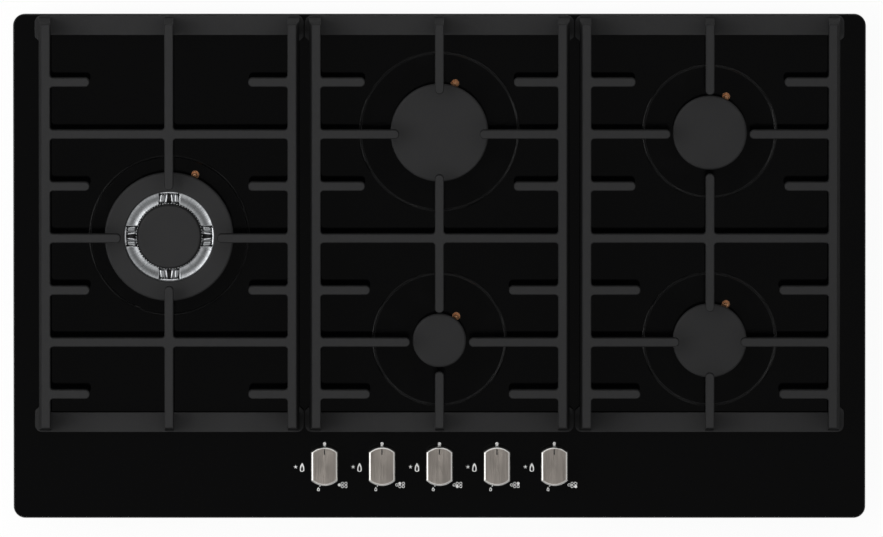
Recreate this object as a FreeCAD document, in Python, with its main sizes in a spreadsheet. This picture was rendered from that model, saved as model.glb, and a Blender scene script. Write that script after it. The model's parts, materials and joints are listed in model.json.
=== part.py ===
import FreeCAD, Part
import math
import os
import re
import Sketcher
from FreeCAD import Vector

# A built-in gas cooktop on glass with five burners and three cast grates.
# +X runs to the right, +Y to the rear, +Z up. The origin is under the middle of the glass, on the
# surface that the underbox stands on. Lengths are millimetres, angles are degrees.

SIZES = {
    # how far one feature runs into the next, or past the face that it cuts
    "overlap": 1,
    # glass panel
    "glass_width": 860, "glass_depth": 510, "glass_thick": 8, "glass_corner": 12, "glass_bevel": 0.8,
    # pressed-steel box below it, with its rim against the glass
    "box_width": 816, "box_depth": 466, "box_height": 46, "box_wall": 1.2, "box_corner": 14,
    "box_fold": 3.6,
    "rim_width": 9, "bead_width": 14, "bead_rise": 2, "bead_length": 330, "bead_spacing": 272,
    # sealing strip between the glass edge and the worktop
    "seal_inset": 3, "seal_width": 8, "seal_thick": 3,
    # burners: two columns on the middle and right grates, one burner in the middle of the left one
    "grate_pitch": 272.5, "middle_row": 31.3, "row_step": 52.5,
    "cap_wok": 65, "cap_rapid": 49.4, "cap_semi": 37.3, "cap_small": 27,
    "dish_large": 81.3, "dish_small": 68.3, "dish_thick": 1, "dish_rim": 2, "dish_roll": 0.8,
    "dish_slope": 1, "hole_margin": 6.5, "dish_clear": 0.5,
    "cap_overhang": 6.5, "cap_thick": 8, "cap_round": 2.2, "cap_lip": 2.5, "lip_wall": 1.6,
    "lip_clear": 0.5,
    "head_height": 12, "head_wall": 5, "head_floor": 3, "head_draft": 1.2, "skirt_depth": 12,
    "skirt_wall": 2, "skirt_clear": 0.3, "slot_width": 2, "slot_depth": 6,
    "slots_wok": 40, "slots_inner": 24, "slots_rapid": 30, "slots_semi": 24, "slots_small": 16,
    "cup_flange": 2, "flange_step": 1, "body_step": 4, "cup_wall": 3, "cup_floor": 3,
    "injector_radius": 3.5, "injector_height": 9, "nipple_radius": 6, "nipple_length": 6,
    # wok burner: an inner burner, a bright trough and an outer ring burner
    "wok_inner_cap": 32, "wok_tower": 33.8, "wok_tower_wall": 4.5, "wok_ring_hole": 45.5,
    "wok_ring_lip": 1, "wok_ring_wall": 4, "trough_rise": 4.5, "trough_drop": 4.4, "trough_round": 6,
    "tower_slot": 4, "tower_slot_width": 4, "bridge_count": 4,
    "bridge_width": 19.5, "bridge_drop": 5, "fin_spacing": 9.2, "fin_width": 1.2, "fin_drop": 1.5,
    "slit_wide": 5, "slit_narrow": 1.2, "slit_depth": 4,
    # flame probe and spark electrode beside each burner
    "probe_out": 1.7, "probe_radius": 2.3, "probe_collar": 4, "probe_stem": 2, "probe_drop": 30,
    "probe_tip_low": 1.5, "spark_gap": 3,
    "spark_out": 3.3, "spark_radius": 2.3, "spark_pin": 0.9, "spark_turn": 180, "sleeve_high": 9,
    "stem_clear": 0.4,
    "probe_angle_wok": 67, "probe_angle_rapid": 72, "probe_angle_small": 54, "probe_angle_semi": 65,
    # brackets that carry the burner cups, and their screws
    "bracket_top": 14, "bracket_sheet": 1.5, "bracket_width": 30, "bracket_foot": 8,
    "bracket_margin": 5, "screw_radius": 2, "screw_head": 3.4, "screw_head_height": 2.4,
    "screw_length": 8, "screw_clear": 0.3, "screw_place": 0.62,
    # grates
    "grate_height": 46, "bar_width": 9, "bar_depth": 14, "side_depth": 20, "side_offset": 124,
    "side_draft": 2.7, "leg_stretch": 27, "tip_round": 4.3, "root_round": 3, "top_chamfer": 0.8,
    "leg_rear": 247.1, "leg_front": -160.4, "leg_slope": 6.8, "leg_inside": 2, "leg_round": 10,
    "rail_depth": 19.6, "rail_height": 6, "rail_half": 135.5, "rail_round": 7, "rail_ledge": 1,
    "ear_reach": 6,
    "foot_height": 2.5, "foot_radius": 5, "foot_inset": 9,
    "finger_long": 49.5, "finger_short": 44.5, "finger_left": 39.5,
    "reach_wok": 48.6, "reach_rapid": 40.7, "reach_small": 29.8, "reach_rear_right": 39.9,
    "reach_front_right": 31, "bell_spread": 22, "bell_rise": 5,
    # knobs, spindles and valves
    "knob_pitch": 58, "knob_row": -200.9, "knob_radius": 19.95, "knob_flat": 13.6,
    "knob_gap": 4.5, "knob_height": 19.5, "knob_round": 2.5, "knob_wall": 2.4, "knob_roof": 3.5,
    "knob_cavity": 30.9,
    "hub_radius": 6.5, "hub_recess": 5, "mark_width": 1.3, "mark_length": 5.6, "mark_inset": 2.6,
    "mark_depth": 0.4,
    "spindle_radius": 4, "spindle_flat": 3, "key_thick": 1.6, "spindle_top": 19.7, "running_gap": 0.05,
    "tail_side": 4, "tail_length": 7.7, "collar_radius": 5.5, "collar_thick": 1.6, "collar_gap": 0.2,
    "seal_flange": 10.8, "seal_flange_thick": 1.2, "seal_neck": 8.7, "seal_bore": 4.3,
    "seal_neck_clear": 0.3,
    "valve_width": 24, "valve_length": 26, "valve_base": 14, "valve_top": 34, "valve_round": 4,
    "plug_low": 18, "plug_high": 28.5, "plug_small": 5, "plug_large": 6, "socket_depth": 8,
    "cavity_radius": 6.5, "bonnet_thick": 2, "boss_radius": 6, "outlet_length": 4,
    "inlet_length": 2,
    # gas rail, pipes and inlet
    "gas_level": 26, "rail_tube": 14, "rail_left": 132, "rail_right": 150, "rail_leg_width": 12,
    "rail_leg_spacing": 174, "pipe_radius": 4, "supply_radius": 6, "pipe_bend": 24,
    "supply_bend": 30,
    "inlet_x": 352, "inlet_y": 186, "inlet_block": 26, "inlet_block_height": 16,
    "thread_radius": 10.48, "thread_length": 13, "neck_radius": 9.5, "neck_length": 2.7,
    "inlet_bore": 7, "recess_width": 76, "recess_height": 18, "recess_hole": 11,
    # ignition module, cable grommet and worktop clamps
    "module_x": -330, "module_y": -165, "module_width": 70, "module_depth": 42, "module_height": 24,
    "module_ear": 8, "module_ear_thick": 3, "module_round": 3,
    "grommet_x": -300, "grommet_level": 22, "grommet_hole": 9, "grommet_neck": 8.7,
    "grommet_flange": 12, "grommet_lip": 2.2, "cable_bore": 3.6,
    "clamp_place": 150, "clamp_width": 24, "clamp_sheet": 1.5, "clamp_low": 7, "clamp_high": 36,
    "clamp_foot": 20, "clamp_slot": 20, "clamp_screw_level": 24, "clamp_hook": 4,
}

doc = FreeCAD.newDocument("GasCooktop")
sheet = doc.addObject("Spreadsheet::Sheet", "Sizes")
for row, (alias, number) in enumerate(SIZES.items(), start=1):
    sheet.set(f"A{row}", alias)
    sheet.set(f"B{row}", str(number))
    sheet.setAlias(f"B{row}", alias)
doc.recompute()

PARTS = []  # the objects that are sub-parts of the cooktop
KNOBS = range(-2, 3)  # the knobs, counted from the middle one
HAIR = 1e-4  # lengths under this are taken as none

# Levels and places that several pieces share, as formulas of the sizes above.
GLASS_TOP = "(box_height + glass_thick)"
HEAD_SEAT = "(dish_thick + cup_flange)"  # above the glass, like the other burner levels
CAP_SEAT = "(dish_thick + cup_flange + head_height)"
CUP_BASE = "(bracket_top - box_height - glass_thick)"
SKIRT_RADIUS = "(body_step + cup_wall + skirt_clear)"  # less than the head's radius by this much
GRATE_TOP = "(box_height + glass_thick + grate_height)"
RAIL_BASE = "(box_height + glass_thick + foot_height)"
GAS_RAIL_Y = "(knob_row - valve_length / 2 - inlet_length - rail_tube / 2)"
PLUG_TOP = "(plug_high - 2 * running_gap)"
COLLAR_TOP = "(valve_top - collar_gap)"
KNOB_TOP = "(knob_gap + knob_height)"
LEG_THICK = "(rail_depth - leg_slope - leg_inside)"
LEG_FOOT = f"({RAIL_BASE} + rail_height / 2)"  # where the legs end, inside the rails
SIDE_FACE = "(side_offset + bar_width / 2)"
SPINDLE_END = "(spindle_top + 3 * running_gap)"  # the end of the knob's bore, just past the spindle

# name, cap radius, dish radius, x, y, slots, direction of the gas inlet, direction of the probe
BURNERS = (
    ("wok", "cap_wok", "dish_large", "-grate_pitch", "middle_row", "slots_wok", -45,
     "probe_angle_wok"),
    ("rear_centre", "cap_rapid", "dish_large", "0", "(middle_row + 2 * row_step)", "slots_rapid",
     225, "probe_angle_rapid"),
    ("front_centre", "cap_small", "dish_small", "0", "(middle_row - 2 * row_step)", "slots_small",
     270, "probe_angle_small"),
    ("rear_right", "cap_semi", "dish_small", "grate_pitch", "(middle_row + 2 * row_step)",
     "slots_semi", 225, "probe_angle_semi"),
    ("front_right", "cap_semi", "dish_small", "grate_pitch", "(middle_row - 2 * row_step)",
     "slots_semi", 180, "probe_angle_semi"),
)


# ---------------------------------------------------------------- helpers


def bound(formula):
    """The formula with each size's name led by the sheet's."""
    return re.sub(r"[a-z][a-z_]+", lambda m: f"Sizes.{m[0]}" if m[0] in SIZES else m[0], str(formula))


def value(formula):
    return float(sheet.evalExpression(bound(formula)))


def new_body(label):
    body = doc.addObject("PartDesign::Body", "Body_" + label)
    body.Label = label
    return body


def put(thing, x="0", y="0", z="0"):
    """Binds where an object stands."""
    for axis, formula in (("x", x), ("y", y), ("z", z)):
        thing.setExpression(f"Placement.Base.{axis}", bound(formula))
    return thing


def sub_part(thing):
    PARTS.append(thing)
    return thing


def group(label, members):
    """One sub-part of several separate solids."""
    compound = doc.addObject("Part::Compound", "Group_" + label)
    compound.Label = label
    compound.Links = members
    return sub_part(compound)


def new_sketch(body, plane="XY", lift="0"):
    """A sketch on one of the body's own planes, moved along the plane's normal by lift."""
    sketch = body.newObject("Sketcher::SketchObject", "Sketch")
    face = [f for f in body.Origin.OriginFeatures if f.Role == plane + "_Plane"][0]
    sketch.AttachmentSupport = (face, [""])
    sketch.MapMode = "FlatFace"
    sketch.setExpression("AttachmentOffset.Base.z", bound(lift))
    return sketch


def add_rules(sketch, rules):
    """Adds constraints in one go. Each is (kind, where, formula); a formula makes it a driving
    dimension bound to the sheet."""
    made = [
        Sketcher.Constraint(kind, *where, *(() if formula is None else (value(formula),)))
        for kind, where, formula in rules
    ]
    for index, (_, _, formula) in zip(sketch.addConstraint(made), rules):
        if formula is not None:
            sketch.setExpression(f"Constraints[{index}]", bound(formula))


def pinned(element, end, x, y):
    """Rules that hold one end of an element at a place."""
    return [("DistanceX", (-1, 1, element, end), x), ("DistanceY", (-1, 1, element, end), y)]


def circle(sketch, x, y, radius):
    spot = Vector(value(x), value(y), 0)
    index = sketch.addGeometry(Part.Circle(spot, Vector(0, 0, 1), value(radius)), False)
    add_rules(sketch, pinned(index, 3, x, y) + [("Radius", (index,), radius)])


def corner_arc(before, spot, after, radius):
    """The arc that rounds a corner, with the points where it leaves the two lines."""
    back = (before - spot).normalize()
    onward = (after - spot).normalize()
    half = back.getAngle(onward) / 2
    reach = radius / math.tan(half)
    first, last = spot + back * reach, spot + onward * reach
    middle = spot + (back + onward).normalize() * (radius / math.sin(half) - radius)
    return Part.Arc(first, middle, last), first, last


def outline(sketch, corners, closed=True):
    """Straight lines through the corners (x, y) or (x, y, rounding radius)."""
    count = len(corners)
    spots = [Vector(value(c[0]), value(c[1]), 0) for c in corners]
    arrive, leave, arcs = list(spots), list(spots), {}
    for i, corner in enumerate(corners):
        if len(corner) == 3:
            arcs[i], arrive[i], leave[i] = corner_arc(
                spots[i - 1], spots[i], spots[(i + 1) % count], value(corner[2]))
    lines = sketch.addGeometry([
        Part.LineSegment(leave[i], arrive[(i + 1) % count])
        for i in range(count if closed else count - 1)
    ], False)
    rules = []
    for i, corner in enumerate(corners):
        before = lines[i - 1] if closed or i else None
        after = lines[i] if i < len(lines) else None
        if i in arcs:
            arc = sketch.addGeometry(arcs[i], False)
            tip = sketch.addGeometry(Part.Point(spots[i]), True)
            first = 1 if sketch.getPoint(arc, 1).isEqual(arrive[i], HAIR) else 2
            rules += [("Tangent", (before, 2, arc, first), None),
                      ("Tangent", (arc, 3 - first, after, 1), None),
                      ("Radius", (arc,), corner[2]),
                      ("PointOnObject", (tip, 1, before), None),
                      ("PointOnObject", (tip, 1, after), None)]
            rules += pinned(tip, 1, *corner[:2])
        elif after is None:
            rules += pinned(before, 2, *corner)
        else:
            rules += pinned(after, 1, *corner)
            if before is not None:
                rules.append(("Coincident", (before, 2, after, 1), None))
    add_rules(sketch, rules)


def rectangle(sketch, width, depth, radius=None, x="0", y="0"):
    rounding = () if radius is None else (radius,)
    outline(sketch, [
        (f"{x} - ({width}) / 2", f"{y} - ({depth}) / 2", *rounding),
        (f"{x} + ({width}) / 2", f"{y} - ({depth}) / 2", *rounding),
        (f"{x} + ({width}) / 2", f"{y} + ({depth}) / 2", *rounding),
        (f"{x} - ({width}) / 2", f"{y} + ({depth}) / 2", *rounding),
    ])


def pad(body, sketch, length, down=False, both=False):
    feature = body.newObject("PartDesign::Pad", "Pad")
    feature.Profile = sketch
    feature.setExpression("Length", bound(length))
    feature.Reversed = down
    feature.Midplane = both
    return feature


def pocket(body, sketch, length, up=False):
    feature = body.newObject("PartDesign::Pocket", "Pocket")
    feature.Profile = sketch
    feature.setExpression("Length", bound(length))
    feature.Reversed = up
    return feature


def revolve(body, corners, cut=False):
    """Turns an outline, drawn as (distance from the axis, height), round the upright axis."""
    sketch = new_sketch(body, "XZ")
    outline(sketch, corners)
    kind = "PartDesign::Groove" if cut else "PartDesign::Revolution"
    feature = body.newObject(kind, "Turned")
    feature.Profile = sketch
    feature.ReferenceAxis = (sketch, ["V_Axis"])
    feature.Angle = 360
    return feature


def around(body, features, count):
    """Repeats features round the upright axis."""
    pattern = body.newObject("PartDesign::PolarPattern", "Around")
    pattern.Originals = features
    pattern.Axis = ([f for f in body.Origin.OriginFeatures if f.Role == "Z_Axis"][0], [""])
    pattern.Angle = 360
    pattern.setExpression("Occurrences", bound(count))
    body.Tip = pattern
    return pattern


def edges(feature, wanted):
    """Names of the feature's edges that pass the test."""
    doc.recompute()
    return [f"Edge{i}" for i, e in enumerate(feature.Shape.Edges, start=1) if wanted(e)]


def faces(feature, wanted):
    doc.recompute()
    return [f"Face{i}" for i, f in enumerate(feature.Shape.Faces, start=1) if wanted(f)]


def fillet(body, feature, names, radius):
    rounded = body.newObject("PartDesign::Fillet", "Rounded")
    rounded.Base = (feature, names)
    rounded.setExpression("Radius", bound(radius))
    return rounded


def chamfer(body, feature, names, size):
    bevel = body.newObject("PartDesign::Chamfer", "Bevel")
    bevel.Base = (feature, names)
    bevel.setExpression("Size", bound(size))
    return bevel


def level_face(height):
    """A test for the flat faces that look up or down at a height."""
    z = value(height)
    return lambda f: abs(f.BoundBox.ZMin - z) < HAIR and abs(f.BoundBox.ZMax - z) < HAIR


def upright(edge):
    box = edge.BoundBox
    return box.XLength < HAIR and box.YLength < HAIR and box.ZLength > HAIR


def stub(body, radius, length, x="0", y="0", z="0", turn=0, tip=90):
    """A round boss that points along the direction turn, or up where tip is 0."""
    boss = body.newObject("PartDesign::AdditiveCylinder", "Boss")
    boss.Placement = FreeCAD.Placement(
        Vector(0, 0, 0),
        FreeCAD.Rotation(Vector(0, 0, 1), turn) * FreeCAD.Rotation(Vector(0, 1, 0), tip),
    )
    boss.setExpression("Radius", bound(radius))
    boss.setExpression("Height", bound(length))
    for axis, formula in (("x", x), ("y", y), ("z", z)):
        boss.setExpression(f"Placement.Base.{axis}", bound(formula))
    return boss


def head_radius(cap):
    return f"({cap} - cap_overhang)"


def probe_spot(burner, out, turn="0"):
    """Where a probe or electrode stands, out from the edge of the burner's cap."""
    cap, angle = burner[1], f"({burner[7]} + {turn})"
    return (f"({cap} + {out}) * cos({angle} * 1 deg)", f"({cap} + {out}) * sin({angle} * 1 deg)")


def spark_spot(burner):
    return probe_spot(burner, "(spark_out - cap_overhang)", "spark_turn")


# ---------------------------------------------------------------- glass, seal and box


def glass_panel():
    body = new_body("glass_panel")
    plate = new_sketch(body, lift="box_height")
    rectangle(plate, "glass_width", "glass_depth", "glass_corner")
    slab = pad(body, plate, "glass_thick")
    bevel = chamfer(body, slab, faces(slab, level_face(GLASS_TOP)), "glass_bevel")
    openings = new_sketch(body, lift=GLASS_TOP)
    for _, cap, _, x, y, *_ in BURNERS:
        circle(openings, x, y, f"{cap} + hole_margin")
    for i in KNOBS:
        circle(openings, f"{i} * knob_pitch", "knob_row", "seal_neck + seal_neck_clear")
    pocket(body, openings, "glass_thick")
    return sub_part(body)


def worktop_seal():
    body = new_body("worktop_seal")
    strip = new_sketch(body, lift="box_height - seal_thick")
    rectangle(strip, "glass_width - 2 * seal_inset", "glass_depth - 2 * seal_inset",
              "glass_corner - seal_inset")
    rectangle(strip, "glass_width - 2 * seal_inset - 2 * seal_width",
              "glass_depth - 2 * seal_inset - 2 * seal_width")
    pad(body, strip, "seal_thick")
    return sub_part(body)


def underbox():
    """A tray with a rim, two beads, a recess for the gas inlet and holes for cable and clamps."""
    body = new_body("underbox")
    plan = new_sketch(body)
    rectangle(plan, "box_width", "box_depth", "box_corner")
    block = pad(body, plan, "box_height")
    fillet(body, block, faces(block, level_face("0")), "box_fold")
    inside = new_sketch(body, lift="box_height")
    rectangle(inside, "box_width - 2 * box_wall", "box_depth - 2 * box_wall", "box_corner - box_wall")
    pocket(body, inside, "box_height - box_wall")
    rim = new_sketch(body, lift="box_height")
    rectangle(rim, "box_width + 2 * rim_width", "box_depth + 2 * rim_width", "box_corner")
    rectangle(rim, "box_width - 2 * box_wall", "box_depth - 2 * box_wall", "box_corner - box_wall")
    pad(body, rim, "box_wall", down=True)
    raised = new_sketch(body)
    rectangle(raised, "recess_width + 2 * box_wall", "recess_width + 2 * box_wall",
              "box_fold + box_wall", "inlet_x", "inlet_y")
    pad(body, raised, "recess_height + box_wall")
    for side in (-1, 1):
        bead = new_sketch(body)
        rectangle(bead, "bead_width + 2 * box_wall", "bead_length", "bead_width / 2",
                  f"{side} * bead_spacing / 2", "0")
        pad(body, bead, "box_wall + bead_rise")
    hollow = new_sketch(body)
    rectangle(hollow, "recess_width", "recess_width", "box_fold", "inlet_x", "inlet_y")
    pocket(body, hollow, "recess_height", up=True)
    channel = new_sketch(body)
    for side in (-1, 1):
        rectangle(channel, "bead_width", "bead_length - 2 * box_wall", "bead_width / 2 - box_wall",
                  f"{side} * bead_spacing / 2", "0")
    pocket(body, channel, "bead_rise", up=True)
    gas = new_sketch(body, lift="recess_height + box_wall")
    circle(gas, "inlet_x", "inlet_y", "recess_hole")
    pocket(body, gas, "box_wall")
    cable = new_sketch(body, "XZ", "-box_depth / 2")
    circle(cable, "grommet_x", "grommet_level", "grommet_hole")
    pocket(body, cable, "box_wall", up=True)
    clamps = new_sketch(body, "YZ", "-box_width / 2")
    for side in (-1, 1):
        circle(clamps, f"{side} * clamp_place", "clamp_screw_level", "screw_radius + screw_clear")
    pocket(body, clamps, "box_width", up=True)
    return sub_part(body)


# ---------------------------------------------------------------- burners


def burner_dish(burner):
    """A shallow enamelled pan on the glass, with a rolled rim and holes for probe and electrode."""
    name, cap, dish, x, y, *_ = burner
    inner = f"{head_radius(cap)} - body_step + dish_clear"
    body = new_body("dish_" + name)
    turned = revolve(body, [
        (inner, "0"), (dish, "0"), (dish, "dish_rim - dish_roll"),
        (f"{dish} - dish_roll", "dish_rim"), (f"{dish} - dish_roll - dish_rim / 2", "dish_rim"),
        (f"{dish} - dish_roll - dish_rim / 2 - dish_slope", "dish_thick"), (inner, "dish_thick"),
    ])
    stems = new_sketch(body, lift="dish_thick")
    circle(stems, *probe_spot(burner, "probe_out"), "probe_stem + stem_clear")
    circle(stems, *spark_spot(burner), "probe_stem + stem_clear")
    pocket(body, stems, "dish_thick")
    return put(body, x, y, GLASS_TOP)


def burner_cup(burner):
    """A die-cast cup that hangs in the glass by its flange, with the injector and the gas inlet."""
    name, cap, _, x, y, _, turn, _ = burner
    head = head_radius(cap)
    outer, bore = f"({head} - body_step)", f"({head} - body_step - cup_wall)"
    floor = f"({CUP_BASE} + cup_floor)"
    body = new_body("burner_cup_" + name)
    revolve(body, [
        ("0", CUP_BASE), (outer, CUP_BASE), (outer, "dish_thick"),
        (f"{head} - flange_step", "dish_thick"), (f"{head} - flange_step", HEAD_SEAT),
        (bore, HEAD_SEAT), (bore, floor), ("injector_radius", floor),
        ("injector_radius", f"{floor} + injector_height"), ("0", f"{floor} + injector_height"),
    ])
    reach = f"({outer} - cup_wall / 2)"
    stub(body, "nipple_radius", "nipple_length + cup_wall / 2",
         f"{reach} * cos({turn} * 1 deg)", f"{reach} * sin({turn} * 1 deg)",
         f"gas_level - {GLASS_TOP}", turn)
    screws = new_sketch(body, lift=floor)
    for side in (-1, 1):
        circle(screws, f"{side} * {bore} * screw_place", "0", "screw_radius + screw_clear")
    pocket(body, screws, "cup_floor")
    return sub_part(put(body, x, y, GLASS_TOP))


def burner_head(burner):
    """A flame spreader: a skirt in the cup, and a crown whose slots the cap closes to ports."""
    name, cap, _, x, y, slots, _, _ = burner
    head = head_radius(cap)
    skirt = f"({head} - {SKIRT_RADIUS})"
    body = new_body("burner_head_" + name)
    crown = f"({head} - head_draft)"
    revolve(body, [
        (f"{skirt} - skirt_wall", f"{HEAD_SEAT} - skirt_depth"), (skirt, f"{HEAD_SEAT} - skirt_depth"),
        (skirt, HEAD_SEAT), (head, HEAD_SEAT), (head, f"{HEAD_SEAT} + head_floor"),
        (crown, CAP_SEAT), (f"{crown} - head_wall", CAP_SEAT),
        (f"{crown} - head_wall", f"{HEAD_SEAT} + head_floor"),
        (f"{skirt} - skirt_wall", f"{HEAD_SEAT} + head_floor"),
    ])
    ports(body, f"{crown} - head_wall / 2", "head_wall + 2 * head_draft + 2 * overlap", slots)
    return sub_part(put(body, x, y, GLASS_TOP))


def ports(body, place, length, count, width="slot_width", depth="slot_depth"):
    """Radial slots cut down from the top of a ring wall."""
    slot = new_sketch(body, lift=CAP_SEAT)
    rectangle(slot, length, width, x=place)
    around(body, [pocket(body, slot, depth)], count)


def burner_cap(burner):
    """An enamelled disc with a rounded rim and a locating lip below."""
    name, cap, _, x, y, *_ = burner
    lip = f"({head_radius(cap)} - head_draft - head_wall - lip_clear)"
    body = new_body("burner_cap_" + name)
    revolve(body, cap_outline(cap, lip, "cap_thick"))
    return sub_part(put(body, x, y, GLASS_TOP))


def cap_outline(cap, lip, thick):
    top = f"({CAP_SEAT} + {thick})"
    return [
        ("0", CAP_SEAT), (f"{lip} - lip_wall", CAP_SEAT),
        (f"{lip} - lip_wall", f"{CAP_SEAT} - cap_lip"),
        (lip, f"{CAP_SEAT} - cap_lip"), (lip, CAP_SEAT), (f"{cap} - cap_round / 2", CAP_SEAT),
        (cap, f"{CAP_SEAT} + cap_round / 2"), (cap, top, "cap_round"), ("0", top),
    ]


def wok_head(burner):
    """Two ring burners in one casting, with a bright trough and four bridges between them."""
    _, cap, _, x, y, slots, _, _ = burner
    head = head_radius(cap)
    skirt = f"({head} - {SKIRT_RADIUS})"
    floor = f"({HEAD_SEAT} + head_floor)"
    crown = f"({head} - head_draft)"
    ring = "(wok_ring_hole - wok_ring_lip)"
    trough = f"({floor} + trough_rise)"
    body = new_body("burner_head_wok")
    revolve(body, [
        ("0", HEAD_SEAT), (f"{skirt} - skirt_wall", HEAD_SEAT),
        (f"{skirt} - skirt_wall", f"{HEAD_SEAT} - skirt_depth"), (skirt, f"{HEAD_SEAT} - skirt_depth"),
        (skirt, HEAD_SEAT), (head, HEAD_SEAT), (head, floor), (crown, CAP_SEAT),
        (f"{crown} - head_wall", CAP_SEAT), (f"{crown} - head_wall", floor),
        (f"{ring} + wok_ring_wall", floor), (f"{ring} + wok_ring_wall", CAP_SEAT),
        (ring, CAP_SEAT), (ring, trough),
        (f"({ring} + wok_tower) / 2", f"{trough} - trough_drop", "trough_round"),
        ("wok_tower", trough), ("wok_tower", CAP_SEAT), ("wok_tower - wok_tower_wall", CAP_SEAT),
        ("wok_tower - wok_tower_wall", floor), ("0", floor),
    ])
    ports(body, f"{crown} - head_wall / 2", "head_wall + 2 * head_draft + 2 * overlap", slots)
    ports(body, "wok_tower - wok_tower_wall / 2", "wok_tower_wall + 2 * overlap", "slots_inner",
          "tower_slot_width", "tower_slot")
    bridges(body, ring, f"({CAP_SEAT} - bridge_drop)")
    return sub_part(put(body, x, y, GLASS_TOP))


def bridges(body, ring, shoulder):
    """Four bridges across the trough: a shouldered block with a tapering slit between two fins."""
    near, far = "(wok_tower - wok_tower_wall / 2)", f"({ring} + wok_ring_wall / 2)"
    span, middle = f"{far} - {near}", f"({far} + {near}) / 2"
    block = new_sketch(body, lift=f"{HEAD_SEAT} + head_floor")
    rectangle(block, span, "bridge_width", x=middle)
    fins = new_sketch(body, lift=shoulder)
    for side in (-1, 1):
        rectangle(fins, span, "fin_width", x=middle, y=f"{side} * fin_spacing / 2")
    slit = new_sketch(body, lift=shoulder)
    outline(slit, [
        ("wok_tower", "-slit_wide / 2"), (f"{ring} - slit_narrow", "-slit_narrow / 2"),
        (f"{ring} - slit_narrow", "slit_narrow / 2"), ("wok_tower", "slit_wide / 2"),
    ])
    bridge = pad(body, block, f"{shoulder} - {HEAD_SEAT} - head_floor")
    fin_pair = pad(body, fins, "bridge_drop - fin_drop")
    around(body, [bridge, fin_pair, pocket(body, slit, "slit_depth")], "bridge_count")


def wok_ring_cap(burner):
    """The outer cap of the wok burner, a flat ring."""
    _, cap, _, x, y, *_ = burner
    lip = f"({head_radius(cap)} - head_draft - head_wall - lip_clear)"
    top = f"({CAP_SEAT} + cap_thick)"
    body = new_body("burner_cap_wok")
    revolve(body, [
        ("wok_ring_hole", CAP_SEAT), (f"{lip} - lip_wall", CAP_SEAT),
        (f"{lip} - lip_wall", f"{CAP_SEAT} - cap_lip"), (lip, f"{CAP_SEAT} - cap_lip"),
        (lip, CAP_SEAT), (f"{cap} - cap_round / 2", CAP_SEAT),
        (cap, f"{CAP_SEAT} + cap_round / 2"), (cap, top, "cap_round"),
        ("wok_ring_hole", top, "cap_round / 2"),
    ])
    return sub_part(put(body, x, y, GLASS_TOP))


def wok_inner_cap(burner):
    _, _, _, x, y, *_ = burner
    body = new_body("wok_inner_cap")
    lip = "(wok_tower - wok_tower_wall - lip_clear)"
    revolve(body, cap_outline("wok_inner_cap", lip, "cap_thick"))
    return sub_part(put(body, x, y, GLASS_TOP))


def flame_probe(burner):
    """A thermocouple: a stem through the dish, a collar on it and a copper tip."""
    body = new_body("probe_" + burner[0])
    tip = f"({CAP_SEAT} - probe_tip_low)"
    revolve(body, [
        ("0", "-probe_drop"), ("probe_stem", "-probe_drop"), ("probe_stem", "dish_thick"),
        ("probe_collar", "dish_thick"), ("probe_collar", "2 * dish_thick"),
        ("probe_radius", "2 * dish_thick"), ("probe_radius", f"{tip} - probe_radius / 2"),
        ("probe_radius / 2", tip), ("0", tip),
    ])
    x, y = probe_spot(burner, "probe_out")
    return put(body, f"{burner[3]} + {x}", f"{burner[4]} + {y}", GLASS_TOP)


def spark_electrode(burner):
    """A ceramic sleeve through the dish with a steel pin below the cap's edge."""
    body = new_body("electrode_" + burner[0])
    revolve(body, [
        ("0", "-probe_drop"), ("probe_stem", "-probe_drop"), ("probe_stem", "dish_thick"),
        ("spark_radius + spark_pin", "dish_thick"), ("spark_radius + spark_pin", "2 * dish_thick"),
        ("spark_radius", "2 * dish_thick"), ("spark_radius", "sleeve_high"),
        ("spark_pin", "sleeve_high"), ("spark_pin", f"{CAP_SEAT} - spark_gap"),
        ("0", f"{CAP_SEAT} - spark_gap"),
    ])
    x, y = spark_spot(burner)
    return put(body, f"{burner[3]} + {x}", f"{burner[4]} + {y}", GLASS_TOP)


def bracket(burner):
    """A hat-section steel bridge on the floor of the box, under a burner cup."""
    name, cap, _, x, y, *_ = burner
    half = f"({head_radius(cap)} - body_step + bracket_margin)"
    foot, inner = f"({half} + bracket_foot)", f"({half} - bracket_sheet)"
    body = new_body("bracket_" + name)
    section = new_sketch(body, "XZ")
    lower, sheet_top = "box_wall", "(box_wall + bracket_sheet)"
    left = [
        (f"-{inner}", "bracket_top - bracket_sheet"), (f"-{inner}", lower), (f"-{foot}", lower),
        (f"-{foot}", sheet_top), (f"-{half}", sheet_top), (f"-{half}", "bracket_top"),
    ]
    right = [(across[1:], height) for across, height in reversed(left)]
    outline(section, left + right)
    hat = pad(body, section, "bracket_width", both=True)
    holes = new_sketch(body, lift="bracket_top")
    bore = f"({head_radius(cap)} - body_step - cup_wall)"
    for side in (-1, 1):
        circle(holes, f"{side} * {bore} * screw_place", "0", "screw_radius + screw_clear")
    pocket(body, holes, "bracket_sheet")
    return put(body, x, y)


def hexagon_screw(label, x, y, z, turn=0, tip=0):
    """A shank that points down and a hexagon head above it, turned to stand where it belongs."""
    head = doc.addObject("Part::Prism", "Head_" + label)
    head.Polygon = 6
    head.setExpression("Circumradius", bound("screw_head"))
    head.setExpression("Height", bound("screw_head_height"))
    shank = doc.addObject("Part::Cylinder", "Shank_" + label)
    shank.setExpression("Radius", bound("screw_radius"))
    shank.setExpression("Height", bound("screw_length"))
    shank.setExpression("Placement.Base.z", bound("-screw_length"))
    screw = doc.addObject("Part::Fuse", "Screw_" + label)
    screw.Base = head
    screw.Tool = shank
    screw.Placement.Rotation = FreeCAD.Rotation(Vector(0, 0, 1), turn) * FreeCAD.Rotation(
        Vector(0, 1, 0), tip)
    return put(screw, x, y, z)


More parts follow.
